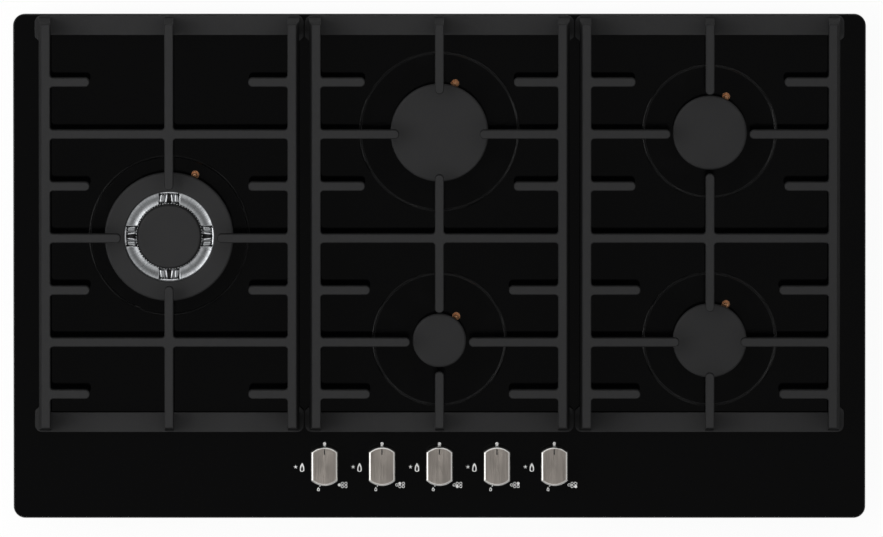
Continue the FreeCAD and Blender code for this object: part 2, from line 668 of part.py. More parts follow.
def burner_screws(burner):
    name, cap, _, x, y, *_ = burner
    bore = f"({head_radius(cap)} - body_step - cup_wall)"
    return [
        hexagon_screw(f"{name}_{side}", f"{x} + {side} * {bore} * screw_place", y,
                      "bracket_top + cup_floor")
        for side in (-1, 1)
    ]


# ---------------------------------------------------------------- grates

# name, column, burners as (row in steps from the middle, finger reach), continuous cross bars,
# lengths of the side fingers from the rear row to the front row
GRATES = (
    ("left", "-grate_pitch", ((0, "reach_wok", "cap_wok"),), (2, -2), ("finger_left",) * 4),
    ("centre", "0", ((2, "reach_rapid", "cap_rapid"), (-2, "reach_small", "cap_small")), (0,),
     ("finger_short", "finger_short", "finger_long", "finger_long")),
    ("right", "grate_pitch", ((2, "reach_rear_right", "cap_semi"),
                              (-2, "reach_front_right", "cap_semi")), (0,),
     ("finger_short", "finger_short", "finger_long", "finger_long")),
)


def row_y(steps):
    return f"(middle_row + {steps} * row_step)"


def bar(sketch, x0, x1, y0, y1, round_ends=()):
    """A bar between two corners; round_ends names the ends that are finger tips."""
    def corner(x, y, *ends):
        return (x, y, "tip_round") if set(ends) & set(round_ends) else (x, y)
    outline(sketch, [
        corner(x0, y0, "left", "front"), corner(x1, y0, "right", "front"),
        corner(x1, y1, "right", "rear"), corner(x0, y1, "left", "rear"),
    ])


def grate(name, column, burners, whole_bars, fingers):
    """Cast bars on two low rails: legs at the ends, fingers towards each burner."""
    body = new_body("grate_" + name)
    inside = "(side_offset - bar_width / 2)"
    half_bar = "bar_width / 2"
    side_bars(body, inside)
    legs = new_sketch(body, "YZ")
    for end in ("rear", "front"):
        outline(legs, leg_profile(end))
    pad(body, legs, "bar_width", both=True)
    reaches = {row: reach for row, reach, _ in burners}
    for row, length in zip((3, 1, -1, -3), fingers):
        cross_bar(body, row, inside, f"{inside} - {length}")
    for row in (2, 0, -2):
        cross_bar(body, row, inside, None if row in whole_bars else reaches[row])
    along = new_sketch(body, lift=GRATE_TOP)
    ends = ["leg_front + bar_width"]
    for row, reach, _ in reversed(burners):
        ends += [f"{row_y(row)} - {reach}", f"{row_y(row)} + {reach}"]
    ends.append("leg_rear - bar_width")
    for i in range(0, len(ends), 2):
        tips = [end for end, tip in (("front", i > 0), ("rear", i + 2 < len(ends))) if tip]
        bar(along, f"-{half_bar}", half_bar, ends[i], ends[i + 1], tips)
    bars = pad(body, along, "bar_depth", down=True)
    spots = junctions(burners, whole_bars)
    wanted = edges(bars, lambda e: upright(e) and any(
        abs(e.BoundBox.XMin - x) < HAIR and abs(e.BoundBox.YMin - y) < HAIR for x, y in spots))
    rounded = fillet(body, bars, wanted, "root_round")
    chamfer(body, rounded, faces(rounded, level_face(GRATE_TOP)), "top_chamfer")
    for row, reach, cap in burners:
        bell = body.newObject("PartDesign::SubtractiveCone", "Bell")
        bell.setExpression("Radius1", bound(f"{reach} + bell_spread"))
        bell.setExpression("Radius2", bound(f"{reach} - bell_rise"))
        bell.setExpression("Height", bound("bell_rise"))
        bell.setExpression("Placement.Base.y", bound(row_y(row)))
        bell.setExpression("Placement.Base.z", bound(f"{GRATE_TOP} - bar_depth"))
    rails = new_sketch(body, lift=RAIL_BASE)
    for end in ("rear", "front"):
        outline(rails, rail_plan(end))
    pad(body, rails, "rail_height")
    return sub_part(put(body, column))


def side_bars(body, inside):
    """The two side bars with their legs. Their outer faces lean out down to the bar's underside."""
    section = new_sketch(body, "XZ", "-(leg_rear + leg_front) / 2")
    for side in (-1, 1):
        outline(section, [
            (f"{side} * {inside}", GRATE_TOP), (f"{side} * {SIDE_FACE}", GRATE_TOP),
            (f"{side} * ({SIDE_FACE} + side_draft)", f"{GRATE_TOP} - side_depth"),
            (f"{side} * ({SIDE_FACE} + side_draft)", LEG_FOOT), (f"{side} * {inside}", LEG_FOOT),
        ])
    pad(body, section, "leg_rear - leg_front + 2 * leg_slope", both=True)
    waste = new_sketch(body, "YZ")
    rectangle(waste, "leg_rear - leg_front + 2 * leg_slope + 2 * overlap",
              f"{GRATE_TOP} - {LEG_FOOT} + 2 * overlap",
              x="(leg_rear + leg_front) / 2", y=f"({GRATE_TOP} + {LEG_FOOT}) / 2")
    outline(waste, side_profile())
    pocket(body, waste, f"2 * ({SIDE_FACE} + side_draft + overlap)").Midplane = True


def cross_bar(body, row, inside, reach):
    """A bar across the grate, whole or as two fingers whose tips are reach from the middle."""
    sketch = new_sketch(body, lift=GRATE_TOP)
    y0, y1 = f"{row_y(row)} - bar_width / 2", f"{row_y(row)} + bar_width / 2"
    if reach is None:
        bar(sketch, f"-{inside} - overlap", f"{inside} + overlap", y0, y1)
    else:
        bar(sketch, f"-{inside} - overlap", f"-({reach})", y0, y1, ("right",))
        bar(sketch, f"{reach}", f"{inside} + overlap", y0, y1, ("left",))
    pad(body, sketch, "bar_depth", down=True)


def side_profile():
    """A side bar from the side: its legs lean outwards down to the rails."""
    return leg_points("rear", "side_depth") + leg_points("front", "side_depth")[::-1]


def leg_points(end, depth):
    """From the underside of a bar down the inside of its leg, out over the rail and up again."""
    sign = "" if end == "rear" else "-"
    top_end = "leg_" + end
    return [
        (f"{top_end} - {sign}{LEG_THICK}", f"{GRATE_TOP} - {depth}", "leg_round"),
        (f"{top_end} + {sign}(leg_slope - rail_depth)", LEG_FOOT),
        (f"{top_end} + {sign}(leg_slope - rail_ledge)", LEG_FOOT),
        (top_end, GRATE_TOP),
    ]


def leg_profile(end):
    """A leg of the centre bar, with the stretch of bar over it."""
    sign = "" if end == "rear" else "-"
    start = f"leg_{end} - {sign}leg_stretch"
    return [(start, f"{GRATE_TOP} - bar_depth")] + leg_points(end, "bar_depth") + [(start, GRATE_TOP)]


def rail_plan(end):
    """A low flat rail with a rounded ear at each end, which hugs the foot of the side bar."""
    sign = "" if end == "rear" else "-"
    outer = f"leg_{end} + {sign}leg_slope"
    inner = f"({outer} - {sign}rail_depth)"
    ear = f"{inner} - {sign}ear_reach"
    neck, root = f"({SIDE_FACE} + side_draft)", "side_offset"
    return [
        ("-rail_half", outer, "rail_round"), ("rail_half", outer, "rail_round"),
        ("rail_half", f"{inner} - {sign}ear_reach / 3", "rail_round / 2"), (neck, ear),
        (root, ear), (root, inner), (f"-{root}", inner), (f"-{root}", ear), (f"-{neck}", ear),
        ("-rail_half", f"{inner} - {sign}ear_reach / 3", "rail_round / 2"),
    ]


def junctions(burners, whole_bars):
    """Where the inner corners between bars stand, relative to the grate."""
    inside, half_bar = value("side_offset - bar_width / 2"), value("bar_width / 2")
    spots = []
    for row in (3, 2, 1, 0, -1, -2, -3):
        for edge in (-half_bar, half_bar):
            y = value(row_y(row)) + edge
            spots += [(-inside, y), (inside, y)]
            if row in whole_bars:
                spots += [(-half_bar, y), (half_bar, y)]
    return spots


def grate_feet(name, column):
    """Four rubber feet under the rails."""
    feet = []
    for side in (-1, 1):
        for end, sign in (("rear", 1), ("front", -1)):
            foot = doc.addObject("Part::Cylinder", f"Foot_{name}_{end}_{side + 1}")
            foot.setExpression("Radius", bound("foot_radius"))
            foot.setExpression("Height", bound("foot_height"))
            feet.append(put(foot, f"{column} + {side} * (rail_half - foot_inset)",
                            f"leg_{end} + {sign} * (leg_slope - rail_depth / 2)", GLASS_TOP))
    return group("grate_feet_" + name, feet)


# ---------------------------------------------------------------- knobs and valves


def knob_x(i):
    return f"({i} * knob_pitch)"


def knob(i):
    """A round knob with two flat sides, a rounded rim, a mark and a hub with a flatted bore."""
    body = new_body(f"knob_{i + 3}")
    plan = new_sketch(body, lift="knob_gap")
    circle(plan, "0", "0", "knob_radius")
    pad(body, plan, "knob_height")
    sides = new_sketch(body, lift=KNOB_TOP)
    for side in (-1, 1):
        rectangle(sides, "knob_radius", "3 * knob_radius",
                  x=f"{side} * (knob_flat + knob_radius / 2)")
    cut = pocket(body, sides, "knob_height")
    fillet(body, cut, faces(cut, level_face(KNOB_TOP)), "knob_round")
    inside = new_sketch(body, lift="knob_gap")
    rectangle(inside, "2 * (knob_flat - knob_wall)", "knob_cavity", "hub_radius")
    pocket(body, inside, "knob_height - knob_roof", up=True)
    hub = new_sketch(body, lift=f"{KNOB_TOP} - knob_roof")
    circle(hub, "0", "0", "hub_radius")
    pad(body, hub, "knob_height - knob_roof - hub_recess", down=True)
    bore = new_sketch(body, lift="knob_gap + hub_recess")
    circle(bore, "0", "0", "spindle_radius + running_gap")
    pocket(body, bore, f"{SPINDLE_END} - knob_gap - hub_recess", up=True)
    key = new_sketch(body, lift="knob_gap + hub_recess")
    rectangle(key, "key_thick", "2 * spindle_radius",
              x="spindle_flat + running_gap + key_thick / 2")
    pad(body, key, f"{SPINDLE_END} - knob_gap - hub_recess")
    mark = new_sketch(body, lift=KNOB_TOP)
    rectangle(mark, "mark_width", "mark_length", y="knob_radius - mark_inset - mark_length / 2")
    pocket(body, mark, "mark_depth")
    return sub_part(put(body, knob_x(i), "knob_row", GLASS_TOP))


def spindle(i):
    """Turned steel: a flatted top in the knob, a collar under the bonnet, a square tail below."""
    body = new_body(f"spindle_{i + 3}")
    low = f"({COLLAR_TOP} - collar_thick)"
    top = f"({GLASS_TOP} + spindle_top)"
    revolve(body, [
        ("0", low), ("collar_radius", low), ("collar_radius", COLLAR_TOP),
        ("spindle_radius", COLLAR_TOP), ("spindle_radius", top), ("0", top),
    ])
    flat = new_sketch(body, lift=top)
    rectangle(flat, "spindle_radius", "3 * spindle_radius", x="spindle_flat + spindle_radius / 2")
    pocket(body, flat, "spindle_top - knob_gap - hub_recess / 2")
    tail = new_sketch(body, lift=low)
    rectangle(tail, "tail_side", "tail_side")
    pad(body, tail, "tail_length", down=True)
    return sub_part(put(body, knob_x(i), "knob_row"))


def valve_plug(i):
    """The tapered plug that meters the gas; the spindle's tail slides in its square socket."""
    body = new_body(f"valve_plug_{i + 3}")
    revolve(body, [
        ("0", "plug_low + running_gap"), ("plug_small - running_gap", "plug_low + running_gap"),
        ("plug_large - running_gap", PLUG_TOP), ("0", PLUG_TOP),
    ])
    socket = new_sketch(body, lift=PLUG_TOP)
    rectangle(socket, "tail_side + 2 * running_gap", "tail_side + 2 * running_gap")
    pocket(body, socket, "socket_depth")
    port = new_sketch(body, "XZ")
    circle(port, "0", "plug_low + slot_width", "slot_width / 2")
    pocket(body, port, "2 * plug_large").Midplane = True
    return sub_part(put(body, knob_x(i), "knob_row"))


def gas_valve(i):
    """The valve's body, with a seat for the plug, an inlet from the rail and an outlet."""
    body = new_body(f"gas_valve_{i + 3}")
    plan = new_sketch(body, lift="valve_base")
    rectangle(plan, "valve_width", "valve_length", "valve_round")
    pad(body, plan, "valve_top - valve_base")
    stub(body, "boss_radius", "outlet_length + valve_round / 2", "0",
         "valve_length / 2 - valve_round / 2", "gas_level", 90)
    stub(body, "boss_radius", "inlet_length + valve_round / 2", "0",
         "valve_round / 2 - valve_length / 2", "gas_level", -90)
    revolve(body, [
        ("0", "plug_low"), ("plug_small", "plug_low"), ("plug_large", "plug_high"),
        ("cavity_radius", "plug_high"), ("cavity_radius", "valve_top + overlap"),
        ("0", "valve_top + overlap"),
    ], cut=True)
    return sub_part(put(body, knob_x(i), "knob_row"))


def valve_bonnet(i):
    """The plate that holds the spindle's collar down in the valve."""
    body = new_body(f"bonnet_{i + 3}")
    plan = new_sketch(body, lift="valve_top")
    rectangle(plan, "valve_width", "valve_length", "valve_round")
    circle(plan, "0", "0", "spindle_radius + running_gap")
    pad(body, plan, "bonnet_thick")
    return put(body, knob_x(i), "knob_row")


def spindle_seal(i):
    """A rubber ring in the glass round a spindle."""
    body = new_body(f"seal_{i + 3}")
    revolve(body, [
        ("seal_bore", "-glass_thick"), ("seal_neck", "-glass_thick"), ("seal_neck", "0"),
        ("seal_flange", "0"), ("seal_flange", "seal_flange_thick"),
        ("seal_bore", "seal_flange_thick"),
    ])
    return put(body, knob_x(i), "knob_row", GLASS_TOP)


# ---------------------------------------------------------------- gas rail, pipes and inlet


def gas_manifold():
    """A square rail in front of the valves, on two legs."""
    body = new_body("gas_manifold")
    plan = new_sketch(body, lift="gas_level - rail_tube / 2")
    outline(plan, [
        ("-rail_left", f"{GAS_RAIL_Y} - rail_tube / 2"),
        ("rail_right", f"{GAS_RAIL_Y} - rail_tube / 2"),
        ("rail_right", f"{GAS_RAIL_Y} + rail_tube / 2"),
        ("-rail_left", f"{GAS_RAIL_Y} + rail_tube / 2"),
    ])
    pad(body, plan, "rail_tube")
    legs = new_sketch(body, lift="box_wall")
    for side in (-1, 1):
        rectangle(legs, "rail_leg_width", "rail_tube", x=f"{side} * rail_leg_spacing / 2",
                  y=GAS_RAIL_Y)
    pad(body, legs, "gas_level - rail_tube / 2 - box_wall")
    return sub_part(body)


def pipe(name, corners, radius, bend, start):
    """A round pipe at the gas level along two straight runs, with a bend between them."""
    body = new_body("pipe_" + name)
    route = new_sketch(body, lift="gas_level")
    rounded = [corners[0]] + [(*corner, bend) for corner in corners[1:-1]] + [corners[-1]]
    outline(route, rounded, closed=False)
    plane, lift, across = start
    section = new_sketch(body, plane, lift)
    circle(section, across, "gas_level", radius)
    run = body.newObject("PartDesign::AdditivePipe", "Run")
    run.Profile = section
    run.Spine = (route, [f"Edge{i + 1}" for i in range(2 * len(corners) - 3)])
    return body


def burner_pipe(i, burner):
    """From a valve's outlet to the inlet of its burner's cup."""
    name, cap, _, x, y, _, turn, _ = burner
    reach = f"({head_radius(cap)} - body_step + nipple_length)"
    end = (f"{x} + {reach} * cos({turn} * 1 deg)", f"{y} + {reach} * sin({turn} * 1 deg)")
    outlet = "(knob_row + valve_length / 2 + outlet_length)"
    corners = [(knob_x(i), outlet), end]
    if turn != 270:
        slope = "0" if turn == 180 else f"tan({turn} * 1 deg)"
        corners.insert(1, (knob_x(i), f"{end[1]} - ({end[0]} - {knob_x(i)}) * {slope}"))
    return pipe(name, corners, "pipe_radius", "pipe_bend", ("XZ", f"-{outlet}", knob_x(i)))


def supply_pipe():
    """From the right end of the rail round to the gas inlet."""
    end = "inlet_y - inlet_block / 2 - outlet_length"
    corners = [("rail_right", GAS_RAIL_Y), ("inlet_x", GAS_RAIL_Y), ("inlet_x", end)]
    return pipe("supply", corners, "supply_radius", "supply_bend", ("YZ", "rail_right", GAS_RAIL_Y))


def gas_inlet_elbow():
    """A brass block on the recess floor with a half-inch male thread that points down."""
    body = new_body("gas_inlet_elbow")
    base = "(recess_height + box_wall)"
    plan = new_sketch(body, lift=base)
    rectangle(plan, "inlet_block", "inlet_block", "valve_round")
    pad(body, plan, "inlet_block_height")
    stub(body, "boss_radius", "outlet_length + valve_round / 2", "0",
         "valve_round / 2 - inlet_block / 2", "gas_level", -90)
    stub(body, "neck_radius", "neck_length", z=f"{base} - neck_length", tip=0)
    stub(body, "thread_radius", "thread_length", z=f"{base} - neck_length - thread_length", tip=0)
    bore = new_sketch(body, lift=f"{base} - neck_length - thread_length")
    circle(bore, "0", "0", "inlet_bore")
    pocket(body, bore, "thread_length + neck_length + inlet_block_height / 2", up=True)
    return sub_part(put(body, "inlet_x", "inlet_y"))


# ---------------------------------------------------------------- ignition, cable and clamps


def ignition_module():
    """The spark generator, a moulded box with two ears on the floor."""
    body = new_body("ignition_module")
    plan = new_sketch(body, lift="box_wall")
    rectangle(plan, "module_width", "module_depth", "module_round")
    pad(body, plan, "module_height")
    ears = new_sketch(body, lift="box_wall")
    rectangle(ears, "module_width + 2 * module_ear", "module_depth / 2", "module_round")
    pad(body, ears, "module_ear_thick")
    return sub_part(put(body, "module_x", "module_y"))


def cable_grommet():
    """A rubber ring in the rear wall that the mains cable leaves through."""
    body = new_body("cable_grommet")
    revolve(body, [
        ("cable_bore", "-grommet_lip"), ("grommet_flange", "-grommet_lip"), ("grommet_flange", "0"),
        ("grommet_neck", "0"), ("grommet_neck", "box_wall"), ("grommet_flange", "box_wall"),
        ("grommet_flange", "box_wall + grommet_lip"), ("cable_bore", "box_wall + grommet_lip"),
    ])
    body.Placement.Rotation = FreeCAD.Rotation(Vector(1, 0, 0), 90)
    return sub_part(put(body, "grommet_x", "box_depth / 2", "grommet_level"))


def clamp(across, along):
    """A bent steel strip on the side of the box whose foot grips the worktop from below."""
    body = new_body(f"clamp_{across}_{along}")
    section = new_sketch(body, "XZ")
    outline(section, [
        ("0", "clamp_low"), ("clamp_foot", "clamp_low"), ("clamp_foot", "clamp_low + clamp_hook"),
        ("clamp_foot - clamp_sheet", "clamp_low + clamp_hook"),
        ("clamp_foot - clamp_sheet", "clamp_low + clamp_sheet"),
        ("clamp_sheet", "clamp_low + clamp_sheet"), ("clamp_sheet", "clamp_high"),
        ("0", "clamp_high"),
    ])
    pad(body, section, "clamp_width", both=True)
    slot = new_sketch(body, "YZ")
    rectangle(slot, "2 * (screw_radius + screw_clear)", "clamp_slot",
              "screw_radius + screw_clear / 2", y="clamp_screw_level")
    pocket(body, slot, "clamp_sheet", up=True)
    body.Placement.Rotation = FreeCAD.Rotation(Vector(0, 0, 1), 0 if across > 0 else 180)
    return put(body, f"{across} * box_width / 2", f"{along} * clamp_place")


def clamp_screw(across, along):
    return hexagon_screw(
        f"clamp_{across + 1}_{along + 1}", f"{across} * (box_width / 2 + clamp_sheet)",
        f"{along} * clamp_place", "clamp_screw_level", 0 if across > 0 else 180, 90)


# ---------------------------------------------------------------- assembly

glass_panel()
worktop_seal()
underbox()
gas_manifold()
gas_inlet_elbow()
ignition_module()
cable_grommet()

group("burner_brackets", [bracket(b) for b in BURNERS])
group("burner_dishes_large", [burner_dish(b) for b in BURNERS if b[2] == "dish_large"])
group("burner_dishes_small", [burner_dish(b) for b in BURNERS if b[2] == "dish_small"])
group("burner_screws", [screw for b in BURNERS for screw in burner_screws(b)])
group("thermocouples", [flame_probe(b) for b in BURNERS])
group("spark_electrodes", [spark_electrode(b) for b in BURNERS])
for burner in BURNERS:
    burner_cup(burner)
wok_head(BURNERS[0])
wok_ring_cap(BURNERS[0])
wok_inner_cap(BURNERS[0])
for burner in BURNERS[1:]:
    burner_head(burner)
    burner_cap(burner)

for entry in GRATES:
    grate(*entry)
    grate_feet(*entry[:2])

for i in KNOBS:
    gas_valve(i)
    valve_plug(i)
    spindle(i)
    knob(i)
group("valve_bonnets", [valve_bonnet(i) for i in KNOBS])
group("spindle_seals", [spindle_seal(i) for i in KNOBS])
pipes = [burner_pipe(i, burner) for i, burner in zip(KNOBS, BURNERS)]
group("gas_pipes", pipes + [supply_pipe()])

ends = (-1, 1)
group("worktop_clamps", [clamp(across, along) for across in ends for along in ends])
group("clamp_screws", [clamp_screw(across, along) for across in ends for along in ends])

doc.recompute()
for thing in doc.Objects:
    if "Invalid" in thing.State or "Error" in thing.State:
        raise RuntimeError(f"{thing.Label} ({thing.TypeId}) failed: {thing.State}")
for thing in PARTS:
    if thing.Shape.isNull() or not thing.Shape.isValid():
        raise RuntimeError(f"{thing.Label} has no valid shape")

os.makedirs("parts", exist_ok=True)
for thing in PARTS:
    thing.Shape.exportStep(f"parts/{thing.Label}.step")
print(len(PARTS), "sub-parts,", sum(len(thing.Shape.Solids) for thing in PARTS), "solids")
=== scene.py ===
# %% [markdown]
# # A gas cooktop on black glass
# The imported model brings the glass, the burners, the cast grates, the knobs and the gas parts at
# their real size. This script gives them their finishes. It adds the bright trough of the wok
# burner, the print on the glass and the paint in the knobs' grooves, and it sets up a plain white
# studio with a camera that looks down as the photograph does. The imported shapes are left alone,
# because a finish can be tried again in seconds and a shape can't.

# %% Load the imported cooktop
import json
import math

import bmesh
import bpy
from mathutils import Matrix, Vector


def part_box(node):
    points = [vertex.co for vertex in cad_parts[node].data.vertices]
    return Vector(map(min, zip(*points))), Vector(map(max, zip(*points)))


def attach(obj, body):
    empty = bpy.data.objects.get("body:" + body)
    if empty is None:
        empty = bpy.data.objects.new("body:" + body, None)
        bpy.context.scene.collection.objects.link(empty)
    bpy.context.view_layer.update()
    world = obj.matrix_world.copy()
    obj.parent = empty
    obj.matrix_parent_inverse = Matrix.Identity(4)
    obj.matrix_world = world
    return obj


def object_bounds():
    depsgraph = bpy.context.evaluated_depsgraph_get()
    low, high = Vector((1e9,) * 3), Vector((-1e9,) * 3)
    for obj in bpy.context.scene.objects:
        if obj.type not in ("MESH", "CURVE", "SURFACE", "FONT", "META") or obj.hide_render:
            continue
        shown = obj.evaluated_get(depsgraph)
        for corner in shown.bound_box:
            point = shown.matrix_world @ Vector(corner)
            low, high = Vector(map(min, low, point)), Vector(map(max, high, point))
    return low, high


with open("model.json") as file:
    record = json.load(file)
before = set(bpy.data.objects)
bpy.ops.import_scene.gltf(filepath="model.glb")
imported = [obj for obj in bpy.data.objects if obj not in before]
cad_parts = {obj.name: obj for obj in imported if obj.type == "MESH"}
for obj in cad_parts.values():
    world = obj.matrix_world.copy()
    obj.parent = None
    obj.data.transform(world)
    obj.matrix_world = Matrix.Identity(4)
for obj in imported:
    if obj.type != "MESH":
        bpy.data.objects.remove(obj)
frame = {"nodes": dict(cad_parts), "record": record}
cad_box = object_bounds()
nodes, record = frame["nodes"], frame["record"]
print(len(nodes), "nodes, box", [round(x, 3) for corner in cad_box for x in corner])

# %% [markdown]
# ## Units and the levels that everything refers to
# The model is in metres, and a maker thinks in millimetres, so one factor turns one into the
# other. The top of the glass is read from the glass itself: whatever is printed on it then stays
# on it when the panel changes.

# %% Units and levels
MM = 0.001
GLASS_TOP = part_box("glass_panel")[1].z
KNOB_COUNT = 5
SINK = 0.4 * MM  # how deep the groove in a knob's top is
print("top of the glass at", round(GLASS_TOP / MM, 2), "mm")

# %% [markdown]
# ## Helpers for materials
# A procedural material is a small network of nodes. Writing one needs the same moves again and
# again: add a node with some values, wire an output to an input, calculate with a value, or map
# it to another range. With these helpers a material reads as a list of what it is made of.


# %% Node helpers
def add(tree, kind, values=None, **settings):
    """A node of this kind, with values for its inputs and settings for the node itself."""
    made = tree.nodes.new("ShaderNode" + kind)
    for name, setting in settings.items():
        setattr(made, name, setting)
    for name, number in (values or {}).items():
        made.inputs[name].default_value = number
    return made


def wire(tree, *pairs):
    """Joins each (output, input) pair."""
    for output, socket in pairs:
        tree.links.new(output, socket)


def calculate(tree, operation, first, second):
    """One arithmetic node; each side is an output or a number."""
    made = add(tree, "Math", operation=operation)
    for socket, side in zip(made.inputs, (first, second)):
        if isinstance(side, (int, float)):
            socket.default_value = side
        else:
            tree.links.new(side, socket)
    return made.outputs[0]


def stretch(tree, source, low, high, new_low, new_high):
    """Maps low..high to new_low..new_high and stops there."""
    made = add(tree, "MapRange", {"From Min": low, "From Max": high,
                                  "To Min": new_low, "To Max": new_high})
    tree.links.new(source, made.inputs["Value"])
    return made.outputs["Result"]


def full_range(tree, noise):
    """Most of a noise lies between 0.3 and 0.7; this spreads it over 0 to 1."""
    return stretch(tree, noise.outputs["Fac"], 0.3, 0.7, 0.0, 1.0)


def split(tree, vector):
    """The X, Y and Z of a vector output."""
    parts = add(tree, "SeparateXYZ")
    tree.links.new(vector, parts.inputs[0])
    return parts.outputs


# %% [markdown]
# ## Effects that several finishes share
# Cast iron, enamel, rubber and plastic all have a fine grain, and most metals have lighter or
# rounder edges. Such an effect is a node group: it is built once, and each material places it
# with its own sizes. A group gives only values, masks and normals. The shader stays in the
# material.


# %% A helper that opens a group
def open_group(name, inputs, outputs):
    """An empty group with named number inputs, given as (name, value), and its outputs."""
    tree = bpy.data.node_groups.new(name, "ShaderNodeTree")
    for label, number in inputs:
        socket = tree.interface.new_socket(label, in_out="INPUT", socket_type="NodeSocketFloat")
        socket.default_value = number
    for label, kind in outputs:
        tree.interface.new_socket(label, in_out="OUTPUT", socket_type="NodeSocket" + kind)
    return tree, tree.nodes.new("NodeGroupInput"), tree.nodes.new("NodeGroupOutput")


# %% [markdown]
# ### Grain
# Two layers of noise in the piece's own space: a fine one that is felt as roughness of the skin,
# and a broad one that makes one area a little different from the next. The size is the size of a
# grain in metres, as it would be measured on the real thing.


# %% Grain
def make_grain():
    tree, given, result = open_group(
        "grain", [("Grain Size", 0.001), ("Patch Size", 0.03)],
        [("Height", "Float"), ("Patches", "Float")])
    spot = add(tree, "TexCoord").outputs["Object"]
    for size, detail, target in (("Grain Size", 3.0, "Height"), ("Patch Size", 4.0, "Patches")):
        noise = add(tree, "TexNoise", {"Detail": detail, "Roughness": 0.6})
        scale = calculate(tree, "DIVIDE", 1.0, given.outputs[size])
        wire(tree, (spot, noise.inputs["Vector"]), (scale, noise.inputs["Scale"]),
             (full_range(tree, noise), result.inputs[target]))
    return tree


GRAIN = make_grain()
print("group", GRAIN.name)

# %% [markdown]
# ### Soft edges and edge wear
# No real edge is perfectly sharp. The Bevel node rounds the normals near an edge, so that the
# edge catches a line of light, and where the rounded normal differs from the flat one there must
# be an edge. That difference, broken up by noise, is the mask for wear. On the cast iron the same
# mask also carries a painted highlight along the edges.


# %% Soft edges
def make_edges():
    tree, given, result = open_group(
        "soft_edges", [("Reach", 0.0005), ("Break Size", 0.004)],
        [("Normal", "Vector"), ("Wear And Highlight", "Float")])
    rounded = add(tree, "Bevel", samples=4)
    flat = add(tree, "NewGeometry").outputs["Normal"]
    facing = add(tree, "VectorMath", operation="DOT_PRODUCT")
    noise = add(tree, "TexNoise", {"Detail": 3.0})
    scale = calculate(tree, "DIVIDE", 1.0, given.outputs["Break Size"])
    wire(tree, (given.outputs["Reach"], rounded.inputs["Radius"]),
         (rounded.outputs["Normal"], facing.inputs[0]), (flat, facing.inputs[1]),
         (add(tree, "TexCoord").outputs["Object"], noise.inputs["Vector"]),
         (scale, noise.inputs["Scale"]))
    apart = calculate(tree, "SUBTRACT", 1.0, facing.outputs["Value"])
    edge = stretch(tree, apart, 0.01, 0.25, 0.0, 1.0)
    broken = stretch(tree, noise.outputs["Fac"], 0.35, 0.6, 0.2, 1.0)
    wire(tree, (rounded.outputs["Normal"], result.inputs["Normal"]),
         (calculate(tree, "MULTIPLY", edge, broken), result.inputs["Wear And Highlight"]))
    return tree


SOFT_EDGES = make_edges()
print("group", SOFT_EDGES.name)

# %% [markdown]
# ### Brushed lines
# Brushing leaves long thin scratches that all run one way. Noise that is squeezed across the
# brushing and stretched along it gives such lines. Two widths together look less regular than
# one.


# %% Brushed lines
def make_brushing():
    tree, given, result = open_group(
        "brushing", [("Line Width", 0.0003), ("Line Length", 0.03)],
        [("Height", "Float"), ("Bands", "Float")])
    parts = split(tree, add(tree, "TexCoord").outputs["Object"])
    for factor, target in ((1.0, "Height"), (9.0, "Bands")):
        width = calculate(tree, "MULTIPLY", given.outputs["Line Width"], factor)
        squeezed = add(tree, "CombineXYZ")
        for axis, size in (("X", width), ("Y", given.outputs["Line Length"]), ("Z", width)):
            wire(tree, (calculate(tree, "DIVIDE", parts[axis], size), squeezed.inputs[axis]))
        noise = add(tree, "TexNoise", {"Scale": 1.0, "Detail": 2.0})
        wire(tree, (squeezed.outputs[0], noise.inputs["Vector"]),
             (full_range(tree, noise), result.inputs[target]))
    return tree


BRUSHING = make_brushing()
print("group", BRUSHING.name)

# %% [markdown]
# ## Materials
# Each finish gets its own short function. A base function makes the material with its shader and
# sets what is the same all over the surface straight on the shader. What changes over the surface
# is wired in afterwards.


# %% The base of a material
def finish(name, color, rough, metal=0.0, **extra):
    """A material with one shader; extra holds other inputs of the shader, _ for a space."""
    made = bpy.data.materials.new(name)
    made.use_nodes = True
    shader = made.node_tree.nodes["Principled BSDF"]
    shader.inputs["Base Color"].default_value = (*color, 1.0)
    shader.inputs["Roughness"].default_value = rough
    shader.inputs["Metallic"].default_value = metal
    for key, number in extra.items():
        shader.inputs[key.replace("_", " ").title().replace("Ior", "IOR")].default_value = number
    return made, made.node_tree, shader


def place(tree, group, **values):
    """Puts a shared effect in a material; values name its inputs, _ for a space."""
    made = tree.nodes.new("ShaderNodeGroup")
    made.node_tree = group
    for key, number in values.items():
        made.inputs[key.replace("_", " ").title()].default_value = number
    return made.outputs


def tint(tree, shader, mask, first, second):
    """The base colour goes from first to second with a mask."""
    mix = add(tree, "Mix", data_type="RGBA")
    for socket, color in ((mix.inputs[6], first), (mix.inputs[7], second)):
        if isinstance(color, bpy.types.NodeSocket):
            tree.links.new(color, socket)
        else:
            socket.default_value = (*color, 1)
    wire(tree, (mask, mix.inputs[0]), (mix.outputs[2], shader.inputs["Base Color"]))
    return mix.outputs[2]


def roughen(tree, shader, mask, low, high):
    """The roughness goes from low to high with a mask."""
    wire(tree, (stretch(tree, mask, 0.0, 1.0, low, high), shader.inputs["Roughness"]))


def facing_up(tree, low, high):
    """0 where the surface's normal points less than low upwards, 1 where more than high."""
    normal = split(tree, add(tree, "NewGeometry").outputs["Normal"])
    return stretch(tree, normal["Z"], low, high, 0.0, 1.0)


def emboss(tree, shader, height, depth, normal=None, strength=1.0):
    """Bumps the surface by a height that goes from 0 to 1 over this depth in metres."""
    bump = add(tree, "Bump", {"Strength": strength, "Distance": depth})
    wire(tree, (height, bump.inputs["Height"]), (bump.outputs[0], shader.inputs["Normal"]))
    if normal is not None:
        wire(tree, (normal, bump.inputs["Normal"]))


